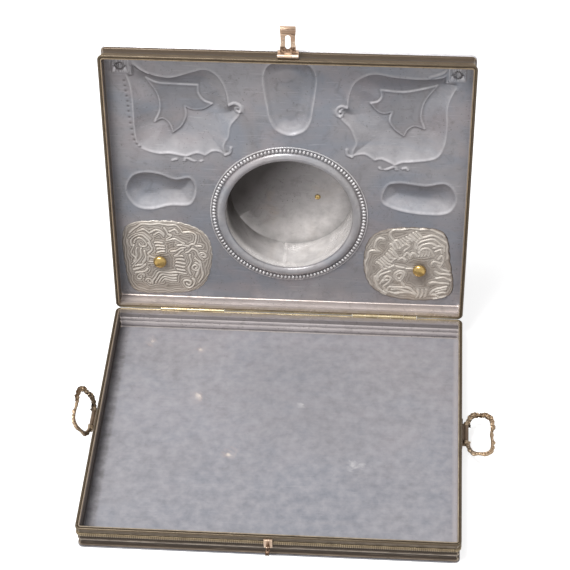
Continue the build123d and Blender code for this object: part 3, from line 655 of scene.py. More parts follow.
def right_ornament(outline):
    """The right plate: a slanting ribbed shell, leaf arcs, an arch with flutes, a boss and long scrolls."""
    strokes = [(border_line(outline, 2.4), 0.45, 0.7)]
    strokes += drawn([
        [(111, 87), (108, 94), (113, 100), (126, 102.5), (146, 102.5), (160, 99), (169, 94)],
        [(97, 73), (93, 77), (93, 84), (97, 89), (101, 89)],
        [(95, 73), (87, 71), (84, 62), (83.5, 48), (85, 38), (88, 28), (94, 20), (105, 16)],
    ], 1.3, 1.0)
    strokes += combed((112, 79), (139, 96), 9, -52, 7.5, 1.4, 1.25)
    strokes += combed((98, 55), (112, 73), 7, -48, 7.0, 1.4, 1.2)
    strokes += combed((101, 51), (115, 66), 6, -30, 5.0, 1.2, 1.1)
    strokes += drawn([
        [(112, 72), (116, 66), (113, 60)], [(120, 78), (124, 83), (129, 79), (125, 74)],
        [(127, 87), (131, 90), (135, 86)], [(118, 62), (121, 66), (125, 63)],
        [(124, 68), (128, 71), (130, 66)], [(131, 68), (134, 72), (137, 68)],
        [(113, 80), (112, 85), (116, 87)],
        [(96, 34), (97, 42), (102, 49), (113, 54)], [(96, 38), (101, 43), (110, 46)],
        [(102, 33), (104, 39), (110, 38), (108, 32), (104, 27), (105, 21)],
        [(94, 39), (94, 30), (99, 22), (106, 18)], [(99, 29), (101, 35), (106, 35)],
        [(107, 21), (110, 26), (115, 25), (125, 27), (132, 24), (137, 18)],
        [(107, 20), (115, 17), (125, 20), (137, 17)], [(112, 22), (122, 23.5), (131, 20)],
        [(137, 78), (136, 84), (140, 91), (149, 94), (160, 93), (168, 86), (171, 76), (170, 65)],
        [(139, 80), (139, 85), (145, 89), (156, 89), (164, 82)], [(140, 77), (144, 83), (152, 84), (159, 82)],
        [(156, 79), (160, 82), (166, 80), (168, 74)], [(158, 75), (163, 77), (165, 72)],
        [(139, 73), (143, 77), (149, 77.5), (153, 75), (155, 69)],
        [(160, 65), (164, 69), (166, 64), (165, 57)], [(155, 57), (157, 61), (163, 60)],
        [(158, 49), (164, 45), (175, 45)], [(162, 57), (166, 51), (172, 48)],
        [(160, 40), (168, 40), (175, 38)], [(116, 53), (125, 53)], [(122, 34), (124, 29)],
        [(127, 51), (135, 50), (138, 47)],
        [(154, 17), (158, 23), (162, 27), (171, 28)], [(160, 22), (166, 25), (171, 25)],
        [(162, 20), (167, 21), (171, 20)], [(154, 17), (160, 18), (163, 15)],
        [(157, 13), (165, 13.5), (172, 15)], [(152, 32), (158, 35), (166, 33), (173, 32)],
    ], 1.3, 1.15)
    strokes += combed((140, 71), (150, 71), 4, 80, 6.5, 1.1, 1.0)
    strokes += combed((140, 19), (149, 19), 3, 78, 10, 1.2, 1.3)
    turns = np.linspace(0, 2 * math.pi, 25)
    for reach in (6.2, 3.6):
        oval = [(120 + 0.8 * reach * math.cos(a), 42 + 1.1 * reach * math.sin(a)) for a in turns]
        strokes.append((np.array(oval), 1.2, 0.95))
    return strokes


def relief_plate(side, outline, ornament, material):
    """A thin plate in low relief, laid on the panel's inner face."""
    line = scalloped(smooth(outline, 3, closed=True))
    bm = bmesh.new()
    plan = flat_grid(bm, line, 0.5)
    away = away_from(plan, line)
    strokes = [(path, level, 1.4 * width) for path, level, width in ornament(line)]
    plan = plan + 0.8 * np.stack([np.sin(plan[:, 1] / 2.9 + 1.3 * np.sin(plan[:, 0] / 6.1)),
                                  np.sin(plan[:, 0] / 3.1 + 1.1 * np.sin(plan[:, 1] / 5.3))], 1)
    rise, echo = ridges(plan, strokes), nearest_stroke(plan, strokes)
    wave = 0.5 + 0.5 * np.cos(2 * np.pi * echo / ECHO_PITCH)
    echoed = ECHO_HEIGHT * wave * np.clip(1.3 - echo / 9, 0, 1) * (echo > 1.2)
    level = np.maximum(rise, echoed) * np.clip(away / 1.5, 0, 1)
    height = PLATE + 0.55 * np.clip(away / 1.2, 0, 1) ** 0.5 + 0.3 * np.clip(away / 25, 0, 1) + level
    layer = bm.verts.layers.float.new("wear_and_painted_light")
    for vert, top, mark in zip(bm.verts, height, level):
        vert.co.z = top
        vert[layer] = float(np.clip(1.25 * (mark - 0.55), -0.55, 0.7))
    edges = [e for e in bm.edges if e.is_boundary]
    made = bmesh.ops.extrude_edge_only(bm, edges=edges)["geom"]
    for vert in [item for item in made if isinstance(item, bmesh.types.BMVert)]:
        vert.co.z = PLATE
    rim = [item for item in made if isinstance(item, bmesh.types.BMEdge) and item.is_boundary]
    bmesh.ops.contextual_create(bm, geom=rim)
    return finished(side + "_relief_plate", bm, material, "lid",
                    [side + "_ornament_plate"], place=LID)


def domed_knob(side, material):
    """A turned knob: a neck, a rolled edge and a low dome."""
    profile = [(0, -1.0), (3.4, -1.0), (4.0, -0.6), (4.0, 0.0), (2.0, 0.0), (2.0, 2.3), (4.4, 2.3),
               (4.6, 2.9), (3.9, 3.6), (3.7, 4.4), (5.2, 4.6), (6.6, 4.7), (7.15, 5.1), (7.3, 5.7), (7.1, 6.3)]
    for k in range(1, 10):
        angle = math.radians(90 * k / 9)
        profile.append((7.0 * math.cos(angle), 6.3 + 3.8 * math.sin(angle)))
    profile[-1] = (0, 10.1)
    bm = bmesh.new()
    turned(bm, profile, 48)
    place = LID @ Matrix.Translation((SIGN[side] * KNOB_X, KNOB_U, 0))
    return finished(side + "_domed_knob", bm, material, "lid", [side + "_knob"], place=place)


# Drum ring

def pearled_ring(material):
    """The moulded ring round the drum's mouth: a bright rolled band and a circle of pearls."""
    profile = [(DRUM_BORE, 0), (RING_OUTER, 0), (RING_OUTER, 0.9), (83.9, 1.2), (83.0, 1.3), (82.6, 1.0),
               (77.8, 1.0), (77.4, 1.3)]
    for k in range(13):
        angle = math.radians(12 + 156 * k / 12)
        profile.append((72.45 + 4.85 * math.cos(angle), 0.4 + 3.8 * math.sin(angle)))
    profile += [(DRUM_BORE, 0.9)]
    bm = bmesh.new()
    turned(bm, profile, 144)
    layer = bm.verts.layers.float.new("wear_and_painted_light")
    for vert in bm.verts:
        if 77.3 < math.hypot(vert.co.x, vert.co.y) < 83.2 and vert.co.z > 0.5:
            vert[layer] = -0.42
        elif vert.co.z > 2.6:
            vert[layer] = 0.3
    for k in range(PEARL_COUNT):
        angle = 2 * math.pi * k / PEARL_COUNT
        made = bmesh.ops.create_uvsphere(bm, u_segments=8, v_segments=5, radius=1.0)["verts"]
        bmesh.ops.scale(bm, vec=(2.25, 1.62, 1.6), verts=made)
        turn_about(bm, made, angle, "Z")
        seat = (PEARL_CIRCLE * math.cos(angle), PEARL_CIRCLE * math.sin(angle), 1.3)
        bmesh.ops.translate(bm, vec=seat, verts=made)
    place = LID @ Matrix.Translation((0, DRUM_U, PLATE))
    return finished("pearled_drum_ring", bm, material, "lid", ["drum_ring"], place=place)


# Milled bead round the tray

def milled_bead(material):
    """The half-round strip round the tray, ribbed across."""
    seat, radius, pitch, flute, rows = 1.9, 2.3, 1.9, 0.5, 8
    bm = bmesh.new()
    path = moulding_path(seat, pitch / 4)
    path.append(path[0])
    travelled = [0.0]
    for a, b in zip(path, path[1:]):
        travelled.append(travelled[-1] + math.hypot(b[0] - a[0], b[1] - a[1]))

    def place(i, j):
        x, y, out = path[i]
        angle = math.radians(-90 + 180 * (j % (rows + 1)) / rows)
        wave = 0.5 - 0.5 * math.cos(2 * math.pi * travelled[i] / pitch)
        depth = radius - flute * wave * math.cos(angle)
        reach = depth * math.cos(angle)
        return (x + reach * out[0], y + reach * out[1], STRIP_Z + depth * math.sin(angle))

    def left_out(middle):
        by_handle = abs(middle.y) < 16.3 and abs(middle.x) > HALF_WIDTH - 5
        by_staple = abs(middle.x - CATCH_X) < 4.5 and middle.y < -HALF_DEPTH + 5
        return by_handle or by_staple

    formed_grid(bm, len(path) - 1, rows + 1, place)
    hidden = [face for face in bm.faces if left_out(face.calc_center_median())]
    bmesh.ops.delete(bm, geom=hidden, context="FACES")
    bmesh.ops.remove_doubles(bm, verts=bm.verts, dist=0.002)
    edges = [e for e in bm.edges if e.is_boundary]
    bmesh.ops.holes_fill(bm, edges=edges, sides=0)
    return finished("tray_milled_strip", bm, material, "tray", ["tray_milled_bead"])


# Bail handles

BAIL_OUTER = [(0, 10.3), (-0.6, 15.3), (1.4, 20.4), (1.6, 23.4), (4.2, 25.8), (5.6, 28.5), (9.6, 29.4),
              (13.75, 28.6), (17.6, 29.5), (21.45, 29.1), (24.7, 26.8), (27.7, 24.4), (28.3, 20.6),
              (29.5, 16.6), (28.4, 13.9), (29.8, 12.3), (30.5, 10.2), (28.7, 7.0), (28.9, 0)]
BAIL_INNER = [(5.3, 10.3), (5.2, 18.55), (5.9, 19.8), (8, 23), (12, 24.2), (14.3, 24.4), (17.05, 24.2),
              (22, 22.4), (24.9, 17.2), (25.3, 9.1), (24.1, 0)]
BAIL_VEIN = [(2.6, 12), (2.4, 19), (5, 24), (9, 26.8), (15, 26.4), (21, 25.4), (25.5, 21), (27.4, 14),
             (26.6, 6), (26.5, 0)]
BAIL_NOTCHES = [
    [(1.4, 20.4), (3.4, 21.4)], [(4.2, 25.8), (5.8, 24.4)], [(9.6, 29.4), (10.6, 26.2)],
    [(17.6, 29.5), (16.6, 26)], [(24.7, 26.8), (22.6, 24.6)], [(28.3, 20.6), (25.8, 19.2)],
    [(28.4, 13.9), (26, 13)], [(30.5, 10.2), (27, 9)], [(28.7, 4), (26.8, 3)], [(12.5, 28.9), (13, 26.6)],
    [(20.8, 29.1), (19.4, 26)], [(26.8, 25), (24.4, 22.8)], [(29, 17.4), (26.6, 16.6)],
    [(0, 14.4), (2, 15)], [(0.4, 17.6), (2.4, 18.2)],
]


def arc_run(points, steps=8):
    """The line of arcs through every second point, from the first to the last."""
    line = []
    for i in range(0, len(points) - 2, 2):
        line += arc_points(points[i], points[i + 1], points[i + 2], steps)
    return line + [points[-1]]


def half_turned(points):
    """The points with the other half of the bail's width before them."""
    return points + [(x, -y) for x, y in points[-2::-1]]


def flat_grid(bm, line, step, holes=()):
    """A grid in XY cut to a closed outline and its holes, with its rims moved onto them."""
    low, high = line.min(0), line.max(0)
    columns, rows = round((high[0] - low[0]) / step), round((high[1] - low[1]) / step)
    verts = formed_grid(bm, columns, rows, lambda i, j: (low[0] + (high[0] - low[0]) * i / columns,
                                                         low[1] + (high[1] - low[1]) * j / rows, 0))
    plan = np.array([vert.co.xy for vert in verts])
    kept = inside(plan, line)
    for hole in holes:
        kept &= ~inside(plan, hole)
    held = dict(zip(verts, kept))
    bmesh.ops.delete(bm, geom=[f for f in bm.faces if not all(held[v] for v in f.verts)], context="FACES")
    a = np.vstack([edge[:-1] for edge in (line, *holes)])
    b = np.vstack([edge[1:] for edge in (line, *holes)])
    for vert in [v for v in bm.verts if v.is_boundary]:
        point = np.array(vert.co.xy)
        t = np.clip(((point - a) * (b - a)).sum(1) / np.maximum(((b - a) ** 2).sum(1), 1e-9), 0, 1)
        feet = a + t[:, None] * (b - a)
        vert.co.x, vert.co.y = feet[((feet - point) ** 2).sum(1).argmin()]
    return np.array([vert.co.xy for vert in bm.verts])


def cast_flat(line, step, half, over, holes=(), shape=None):
    """A flat casting with its edges rounded over, both faces from one grid. shape may change its height."""
    bm = bmesh.new()
    plan = flat_grid(bm, line, step, holes)
    away = away_from(plan, line)
    for hole in holes:
        away = np.minimum(away, away_from(plan, hole))
    share = np.clip(away / over, 0, 1)
    height = half * np.sqrt(1 - (1 - share) ** 2)
    if shape is not None:
        height = np.where(away > 0.01, shape(plan, height, share), 0)
    below = bmesh.ops.duplicate(bm, geom=bm.verts[:] + bm.edges[:] + bm.faces[:])["vert_map"]
    bm.verts.ensure_lookup_table()
    for index, level in enumerate(height):
        vert = bm.verts[index]
        vert.co.z = level
        below[vert].co.z = -level
    return bm


def round_hole(x, y, radius):
    """A round line about a point."""
    turns = np.linspace(0, 2 * math.pi, 29)
    return np.array([(x + radius * math.cos(a), y + radius * math.sin(a)) for a in turns])


def leafy_bail(side, material):
    """A cast bail: a flat frame rounded over, with a vein along it and notches between its leaves."""
    outer = half_turned(arc_run(BAIL_OUTER))
    inner = half_turned(arc_run(BAIL_INNER))
    strokes = drawn([BAIL_VEIN], 0.4, 1.0) +[(smooth(notch, 3), -0.4, 0.9) for notch in BAIL_NOTCHES]

    def veined(plan, height, share):
        folded = np.stack([plan[:, 0], np.abs(plan[:, 1])], 1)
        return np.clip(height + ridges(folded, strokes) * share, 0.12, 2.08)

    bm = cast_flat(closed(outer + inner[::-1]), 0.42, 1.55, 1.7, shape=veined)
    for end in (-1, 1):
        eye = rod(28, 2.6, 4.6, "X", 0.35)
        bmesh.ops.translate(eye, vec=(0, end * HANDLE_EYE_Y, 0), verts=eye.verts)
        add_mesh(bm, eye)
        add_mesh(bm, block((3.55, 4.6, 1.8), (-1.77, end * HANDLE_EYE_Y, -1.69), 0.2))
    place = Matrix.Translation((SIGN[side] * HANDLE_X, 0, HANDLE_Z))
    if side == "left":
        bmesh.ops.scale(bm, vec=(-1, 1, 1), verts=bm.verts)
        place = place @ Matrix.Rotation(math.radians(LEFT_LIFT), 4, "Y")
    handle = side + "_handle"
    piece = finished(side + "_leafy_bail", bm, material, handle, [handle], place=place)
    return crisp(piece, 50)


# Hasp and staple

def rounded_outline(half_width, low, high, corner, steps=6):
    """A rounded rectangle from low to high along Y."""
    points = []
    wide, first, last = half_width - corner, low + corner, high - corner
    for x, y, start in ((wide, last, 0), (-wide, last, 90), (-wide, first, 180), (wide, first, 270)):
        for k in range(steps):
            angle = math.radians(start + 90 * k / (steps - 1))
            points.append((x + corner * math.cos(angle), y + corner * math.sin(angle)))
    return points


def slotted_hasp(material):
    """The hasp: a plate with a slot, its knuckle on the pin and its end rolled over."""
    edge = [(-7.9, 3.0), (-7.9, 8.0), (-7.2, 14), (-7.2, 20), (-7.9, 27), (-7.9, 31.1)]
    outer = edge + [(-x, y) for x, y in edge[::-1]]
    bm =cast_flat(closed(outer), 0.4, 0.75, 0.8, [closed(rounded_outline(2.7, 7.4, 23.0, 2.6))])
    bmesh.ops.translate(bm, vec=(0, 0, -1.65), verts=bm.verts)
    roll = []
    for radius, steps in ((2.3, range(17)), (1.0, range(16, -1, -1))):
        for k in steps:
            angle = math.radians(-90 + 240 * k / 16)
            roll.append((31.1 + radius * math.cos(angle), -0.1 + radius * math.sin(angle)))
    curl = bmesh.new()
    prism(curl, roll, 15.8)
    across = Matrix(((0, 0, 1, -7.9), (1, 0, 0, 0), (0, 1, 0, 0), (0, 0, 0, 1)))
    bmesh.ops.transform(curl, matrix=across, verts=curl.verts)
    soften(curl, 0.25)
    add_mesh(bm, curl)
    add_mesh(bm, rod(24, 2.4, 7.0, "Y"))
    add_mesh(bm, block((7.0, 4.0, 1.5), (0, 2.0, -1.65)))
    return crisp(finished("slotted_hasp", bm, material, "hasp", ["hasp"], place=CATCH))


def drum_rivet_head(material):
    """The rivet through the drum's end, its head beaten into a low dome."""
    profile = [(0, -3.0), (1.6, -2.8), (2.6, -2.0), (2.6, -1.2), (1.8, -1.2), (1.8, 0), (3.1, 0),
               (3.2, 0.4), (2.8, 1.1), (1.9, 1.7), (0.9, 1.95), (0, 2.0)]
    bm = bmesh.new()
    turned(bm, profile, 28)
    place = LID @ Matrix.Translation((DRUM_RIVET_X, DRUM_RIVET_U, -DRUM_DEPTH))
    return finished("drum_rivet_head", bm, material, "lid", ["drum_rivet"], place=place)


def pierced_staple(material):
    """The eye on the tray's front: a drooping nose with a round hole, its edges rounded off."""
    nose = [(14.0, -2.0)]
    for k in range(1, 7):
        angle = math.radians(15 * k)
        nose.append((10.8 + 3.2 * math.cos(angle), -2.0 + 3.2 * math.sin(angle)))
    under = [(x, -4.0 - z) for x, z in nose[:0:-1]]
    outline = nose + [(-1.7, 4.5), (-1.7, -4.5)] + under
    bm = cast_flat(closed(outline), 0.35, 1.9, 1.0, [round_hole(8.15, -1.0, 2.3)])
    front = Matrix(((0, 0, 1, CATCH_X), (-1, 0, 0, -HALF_DEPTH), (0, 1, 0, STAPLE_Z), (0, 0, 0, 1)))
    bmesh.ops.transform(bm, matrix=front, verts=bm.verts)
    add_mesh(bm, block((8.6, 3.6, 11.4), (CATCH_X, -HALF_DEPTH, STAPLE_Z), 0.5, 3))
    return crisp(finished("pierced_staple", bm, material, "tray", ["staple"]))


def corner_plate(side, material):
    """The small pierced plate of an upper corner, with a rolled rim round its hole."""
    bm = bmesh.new()
    turns = [2 * math.pi * k / 64 for k in range(64)]
    edges = []

    def ring(reaches, height):
        points = [(reach * math.cos(t), reach * math.sin(t), height) for reach, t in zip(reaches, turns)]
        edges.append(loop(bm, points)[1])

    for radius, height in ((PIERCED_HOLE, 0), (PIERCED_HOLE, 1.0), (3.15, 1.5), (3.6, 1.6), (4.1, 1.4),
                           (4.4, 1.0), (5.2, 1.0)):
        ring([radius] * len(turns), height)
    power = 9  # of the superellipse that rounds the plate's corners
    for inset, height in ((1.6, 1.0), (0.8, 1.0), (0.3, 0.85), (0.0, 0.5), (0.0, 0)):
        wide, deep = PIERCED_HALF_WIDTH - inset, PIERCED_HALF_DEPTH - inset
        ring([((abs(math.cos(t)) / wide) ** power + (abs(math.sin(t)) / deep) ** power) ** (-1 / power)
              for t in turns], height)
    for first, second in zip(edges, edges[1:] + edges[:1]):
        bmesh.ops.bridge_loops(bm, edges=first + second)
    place = LID @ Matrix.Translation((SIGN[side] * PIERCED_X, PIERCED_U, PLATE))
    return crisp(finished(side + "_corner_plate", bm, material, "lid",
                          [side + "_pierced_plate"], place=place))


def sunk_rivet(side, material):
    """The iron rivet end deep in a corner plate's hole, near black so that the hole reads as painted shade."""
    profile = [(0, -0.9), (3.0, -0.9), (3.0, 0.0), (2.6, 0.25), (1.4, 0.55), (0, 0.65)]
    bm = bmesh.new()
    turned(bm, profile, 24)
    place = LID @ Matrix.Translation((SIGN[side] * PIERCED_X, PIERCED_U, PLATE / 2))
    return finished(side + "_sunk_rivet", bm, material, "lid", place=place)


def seal_drum(material):
    """The drum in one skin: its tube, the end plate inside a rolled lip, and the seam along the bottom."""
    back = -DRUM_DEPTH
    profile = [(DRUM_BORE, PLATE), (DRUM_BORE, -12), (DRUM_BORE, -28), (DRUM_BORE, back + 1.6),
               (67.1, back + 0.5), (66.0, back), (52, back), (38, back), (24, back), (12, back), (0, back),
               (0, back - 1.2), (69.2, back - 1.2), (69.8, back - 0.9), (70.0, back - 0.4),
               (70.0, back + 2.0), (69.7, back + 2.4), (DRUM_OUTER, back + 2.4), (DRUM_OUTER, PLATE)]
    bm = bmesh.new()
    turned(bm, profile, 160)
    layer = bm.verts.layers.float.new("wear_and_painted_light")
    # Painted shade and light: the inner wall is marked darker towards the upper left and deeper in, and lighter
    # towards the lower right. A painted highlight runs round the end plate's edge on the lit side.
    for vert in bm.verts:
        reach = math.hypot(vert.co.x, vert.co.y)
        if reach < 67.7 and vert.co.z > back - 0.5:
            shaded = (-0.75 * vert.co.x + 0.66 * vert.co.y) / DRUM_BORE
            depth = min(1.0, max(0.0, -vert.co.z / 20))
            vert[layer] = max(-0.95, min(1.0, 0.12 + 1.6 * shaded)) * -(0.5 + 0.5 * depth)
            if reach > 65.9 and vert.co.z < back + 1.0 and shaded < 0.3:
                vert[layer] = 0.6
    seam = bmesh.new()
    outline = [(67.9, -2.0), (67.9, 2.0), (67.15, 1.7), (67.0, 0), (67.25, -1.7)]
    prism(seam, outline, DRUM_DEPTH + PLATE - 2.4)
    bmesh.ops.translate(seam, vec=(0, 0, back + 1.2), verts=seam.verts)
    turn_about(seam, seam.verts, math.radians(-95), "Z")
    add_mesh(bm, seam)
    place = LID @ Matrix.Translation((0, DRUM_U, 0))
    return crisp(finished("seal_drum", bm, material, "lid", ["drum_wall", "drum_end"],
                          place=place))


# Nodes, put into a tree by their kind; a value may be a number, a colour or another node's socket

def put(tree, kind, values=None, **settings):
    """A new node with its settings, and its sockets set or joined."""
    made = tree.nodes.new(kind)
    for key, value in settings.items():
        setattr(made, key, value)
    for key, value in (values or {}).items():
        if isinstance(value, bpy.types.NodeSocket):
            tree.links.new(value, made.inputs[key])
        else:
            made.inputs[key].default_value = value
    return made


def sums(tree, operation, a, b=0.0):
    """One sum of two values."""
    return put(tree, "ShaderNodeMath", {0: a, 1: b}, operation=operation).outputs[0]


def times(tree, a, b):
    """The product of two values."""
    return sums(tree, "MULTIPLY", a, b)


def ranged(tree, value, low, high, start=0.0, end=1.0):
    """The value brought from low-high to start-end and held there."""
    values = {"Value": value, "From Min": low, "From Max": high, "To Min": start, "To Max": end}
    return put(tree, "ShaderNodeMapRange", values).outputs[0]


def mottle(tree, vector, scale, detail=5.0, roughness=0.6, warp=0.0):
    """Cloudy noise between 0 and 1."""
    values = {"Vector": vector, "Scale": scale, "Detail": detail, "Roughness": roughness, "Distortion": warp}
    return put(tree, "ShaderNodeTexNoise", values).outputs[0]


def mixed(tree, share, first, second):
    """One colour passing into another."""
    return put(tree, "ShaderNodeMix", {0: share, 6: first, 7: second}, data_type="RGBA").outputs[2]


def tinted(tree, mask, share, colour, tint):
    """The colour passing into a tint by a share of the mask."""
    return mixed(tree, times(tree, mask, share), colour, tint + (1,))


def group(name, takes, gives):
    """An empty node group with its named inputs and outputs."""
    tree = bpy.data.node_groups.new(name, "ShaderNodeTree")
    for label, kind, value in takes:
        socket = tree.interface.new_socket(label, in_out="INPUT", socket_type=kind)
        if value is not None:
            socket.default_value = value
    for label in gives:
        tree.interface.new_socket(label, in_out="OUTPUT", socket_type="NodeSocketFloat")
    return tree, tree.nodes.new("NodeGroupInput").outputs, tree.nodes.new("NodeGroupOutput")


def tarnish_group():
    """Soft clouds of tarnish, finer stains in them and pinhead specks."""
    inputs = [("Vector", "NodeSocketVector", None), ("Size", "NodeSocketFloat", 14.0)]
    tree, takes, gives = group("tarnish", inputs, ["Clouds", "Stains", "Specks"])
    clouds = mottle(tree, takes["Vector"], takes["Size"], 6.0, 0.62, 0.6)
    tree.links.new(ranged(tree, clouds, 0.36, 0.66), gives.inputs["Clouds"])
    fine = times(tree,takes["Size"], 6.0)
    stains = mottle(tree, takes["Vector"], fine, 7.0, 0.7, 1.2)
    tree.links.new(ranged(tree, stains, 0.52, 0.68), gives.inputs["Stains"])
    cells = put(tree, "ShaderNodeTexVoronoi", {"Vector": takes["Vector"], "Scale": 260.0, "Randomness": 1.0})
    thin = ranged(tree, mottle(tree, takes["Vector"], 70.0, 3.0), 0.4, 0.62, 0.02, 0.2)
    speck = sums(tree, "LESS_THAN", cells.outputs["Distance"], thin)
    tree.links.new(speck, gives.inputs["Specks"])
    return tree


def scratch_group():
    """Fine scratches that run two ways over a sheet."""
    tree, takes, gives = group("fine_scratches", [("Vector", "NodeSocketVector", None)], ["Scratches"])
    layers = []
    for turn, size in (((0.2, 0.15, 0.25), (26.0, 700.0, 700.0)), ((0.9, -0.3, 1.9), (30.0, 800.0, 800.0)),
                       ((-0.5, 0.4, -0.7), (34.0, 760.0, 760.0))):
        laid = put(tree, "ShaderNodeMapping", {"Vector": takes["Vector"], "Rotation": turn, "Scale": size})
        layers.append(ranged(tree, mottle(tree, laid.outputs[0], 1.0, 2.0, 0.5, 0.0), 0.66, 0.74))
    both = sums(tree, "MAXIMUM", sums(tree, "MAXIMUM", layers[0], layers[1]), layers[2])
    tree.links.new(both, gives.inputs["Scratches"])
    return tree


def wear_and_light_group():
    """Edges polished bright, broken up, and darker in concave corners. The attribute of marked wear, painted
    light and painted shade adds to both.
    """
    inputs = [("Vector", "NodeSocketVector", None), ("Edge", "NodeSocketFloat", 0.56)]
    tree, takes, gives = group("edge_wear_and_light", inputs, ["Rubbed", "Grime_and_shade"])
    point = put(tree, "ShaderNodeNewGeometry").outputs["Pointiness"]
    uneven = ranged(tree, mottle(tree, takes["Vector"], 90.0, 4.0), 0.3, 0.7, 0.45, 1.0)
    edge = ranged(tree, point, sums(tree, "SUBTRACT", takes["Edge"], 0.045), takes["Edge"])
    wear_and_painted_light = put(tree, "ShaderNodeAttribute", attribute_name="wear_and_painted_light").outputs["Fac"]
    lines = ranged(tree, wear_and_painted_light, 0.0, 1.0)
    rubbed_and_lit = times(tree,sums(tree, "MAXIMUM", edge, lines), uneven)
    tree.links.new(rubbed_and_lit, gives.inputs["Rubbed"])
    # Darker in concave corners, and where the attribute marks painted shade.
    corner = ranged(tree, point, 0.49, 0.44)
    darkened = ranged(tree, wear_and_painted_light, 0.0, -1.0)
    tree.links.new(sums(tree, "MAXIMUM", corner, darkened), gives.inputs["Grime_and_shade"])
    return tree


def metal(name, groups, base, bright, dark, rough, metallic, size=14.0, edge=0.56, scratches=0.5, bump=0.25,
          grime_and_shade=0.8, clouded=0.5, stained=0.25, inner=None, foot=None, extra=None):
    """Worn metal: its own colour clouded with tarnish, bright on polished edges and dark in the corners, lighter
    where painted light is marked on the piece and darker where painted shade is.
    """
    material = bpy.data.materials.new(name)
    material.use_nodes = True
    tree = material.node_tree
    shader = tree.nodes["Principled BSDF"]
    spot = put(tree, "ShaderNodeTexCoord").outputs
    where = spot["Object"]
    tarnish = put(tree, "ShaderNodeGroup", node_tree=groups["tarnish"])
    scored = put(tree, "ShaderNodeGroup", node_tree=groups["scratches"])
    wear = put(tree, "ShaderNodeGroup", node_tree=groups["wear"])
    for made in (tarnish, scored, wear):
        tree.links.new(where, made.inputs["Vector"])
    tarnish.inputs["Size"].default_value = size
    wear.inputs["Edge"].default_value = edge
    clouds, stains, specks = (tarnish.outputs[k] for k in ("Clouds", "Stains", "Specks"))
    dull = tuple(0.62 * a + 0.38 * b for a, b in zip(base, dark))
    colour = tinted(tree, clouds, clouded, base + (1,), dull)
    if extra is not None:
        colour = extra(tree, where, colour)
    if inner is not None:
        centre, lining, lining_dull = inner
        away = put(tree, "ShaderNodeVectorMath", {0: where, 1: centre}, operation="SUBTRACT").outputs[0]
        facing = put(tree, "ShaderNodeVectorMath", {0: away, 1: spot["Normal"]}, operation="DOT_PRODUCT")
        lined = ranged(tree, facing.outputs["Value"], -0.02, -0.05)
        lining_colour = tinted(tree, clouds, clouded, lining + (1,), lining_dull)
        # foot darkens the lining below a height: painted shade low on a shaded inner wall.
        if foot is not None:
            height = put(tree, "ShaderNodeSeparateXYZ", {0: where}).outputs[2]
            below = ranged(tree, height, foot[0] + 0.0015, foot[0] - 0.0015)
            lining_colour = mixed(tree, below, lining_colour, foot[1] + (1,))
        colour = mixed(tree, lined, colour, lining_colour)
    colour = tinted(tree, stains, stained, colour, dark)
    colour = tinted(tree, specks, 0.4, colour, dark)
    colour = tinted(tree, scored.outputs["Scratches"], 0.35 * scratches, colour, bright)
    # Darker in concave corners and where painted shade is marked on the piece.
    colour = tinted(tree, wear.outputs["Grime_and_shade"], grime_and_shade, colour, dark)
    # Lighter on polished edges and where painted light is marked on the piece.
    colour = tinted(tree, wear.outputs["Rubbed"], 0.85, colour, bright)
    tree.links.new(colour, shader.inputs["Base Color"])
    rougher = sums(tree, "ADD", times(tree,clouds, 0.1), times(tree,stains, 0.14))
    rougher = sums(tree, "SUBTRACT", rougher, times(tree,wear.outputs["Rubbed"], 0.12))
    tree.links.new(sums(tree, "ADD", rougher, rough), shader.inputs["Roughness"])
    shader.inputs["Metallic"].default_value = metallic
    dents = times(tree,mottle(tree, where, 38.0, 3.0, 0.5), 1.2)
    relief = sums(tree, "ADD", dents, times(tree,mottle(tree, where, 900.0, 3.0), 0.12))
    relief = sums(tree, "SUBTRACT", relief, times(tree,scored.outputs["Scratches"], 0.25 * scratches))
    relief = sums(tree, "SUBTRACT", relief, times(tree,specks, 0.3))
    raised = put(tree, "ShaderNodeBump", {"Strength": bump, "Distance": 0.0012, "Height": relief})
    tree.links.new(raised.outputs[0], shader.inputs["Normal"])
    return material


# Marks on single pieces, in metres: a spot is its x, y and radius, a band its heights, tint and share

COPPER_SPOTS = [(-0.090, 0.053, 0.0055), (-0.050, -0.027, 0.0055), (-0.095, 0.122, 0.004),
                (-0.149, 0.131, 0.005)]
PALE_SPOTS = [(0.079, -0.035, 0.007), (0.021, 0.046, 0.005), (0.088, -0.0365, 0.006)]
FLOOR_TOP = 0.0014
COVE_SHADE = (0.03, 0.02, 0.014)
# By height in metres: painted shade in the two coves, painted highlights on the fillet and the foot's top, and a
# dark band above the bead.
MOULDING_BANDS = [(0.0052, 0.0096, COVE_SHADE, 0.8), (0.0126, 0.0164, COVE_SHADE, 0.85),
                  (0.0103, 0.0121, (0.5, 0.43, 0.36), 0.75), (0.002, 0.0042, (0.3, 0.23, 0.17), 0.6),
                  (0.0222, 0.0252, (0.04, 0.026, 0.017), 0.7)]


def band(tree, value, low, high, share):
    """A soft-edged band of the value between low and high."""
    soft = 0.0006
    rise = ranged(tree, value, low - soft, low + soft)
    fall = ranged(tree, value, high + soft, high - soft)
    return times(tree,times(tree,rise, fall), share)


def moulding_lines(tree, where, colour):
    """The tray's moulding: painted shade in its coves, painted highlights on its fillet and the top of its foot,
    and a dark band above the bead.
    """
    height = put(tree, "ShaderNodeSeparateXYZ", {0: where}).outputs[2]
    uneven = ranged(tree, mottle(tree, where, 55.0, 4.0, 0.6), 0.35, 0.65, 0.45, 1.0)
    for low, high, tint, share in MOULDING_BANDS:
        colour = tinted(tree, band(tree, height, low, high, share), uneven, colour, tint)
    return colour


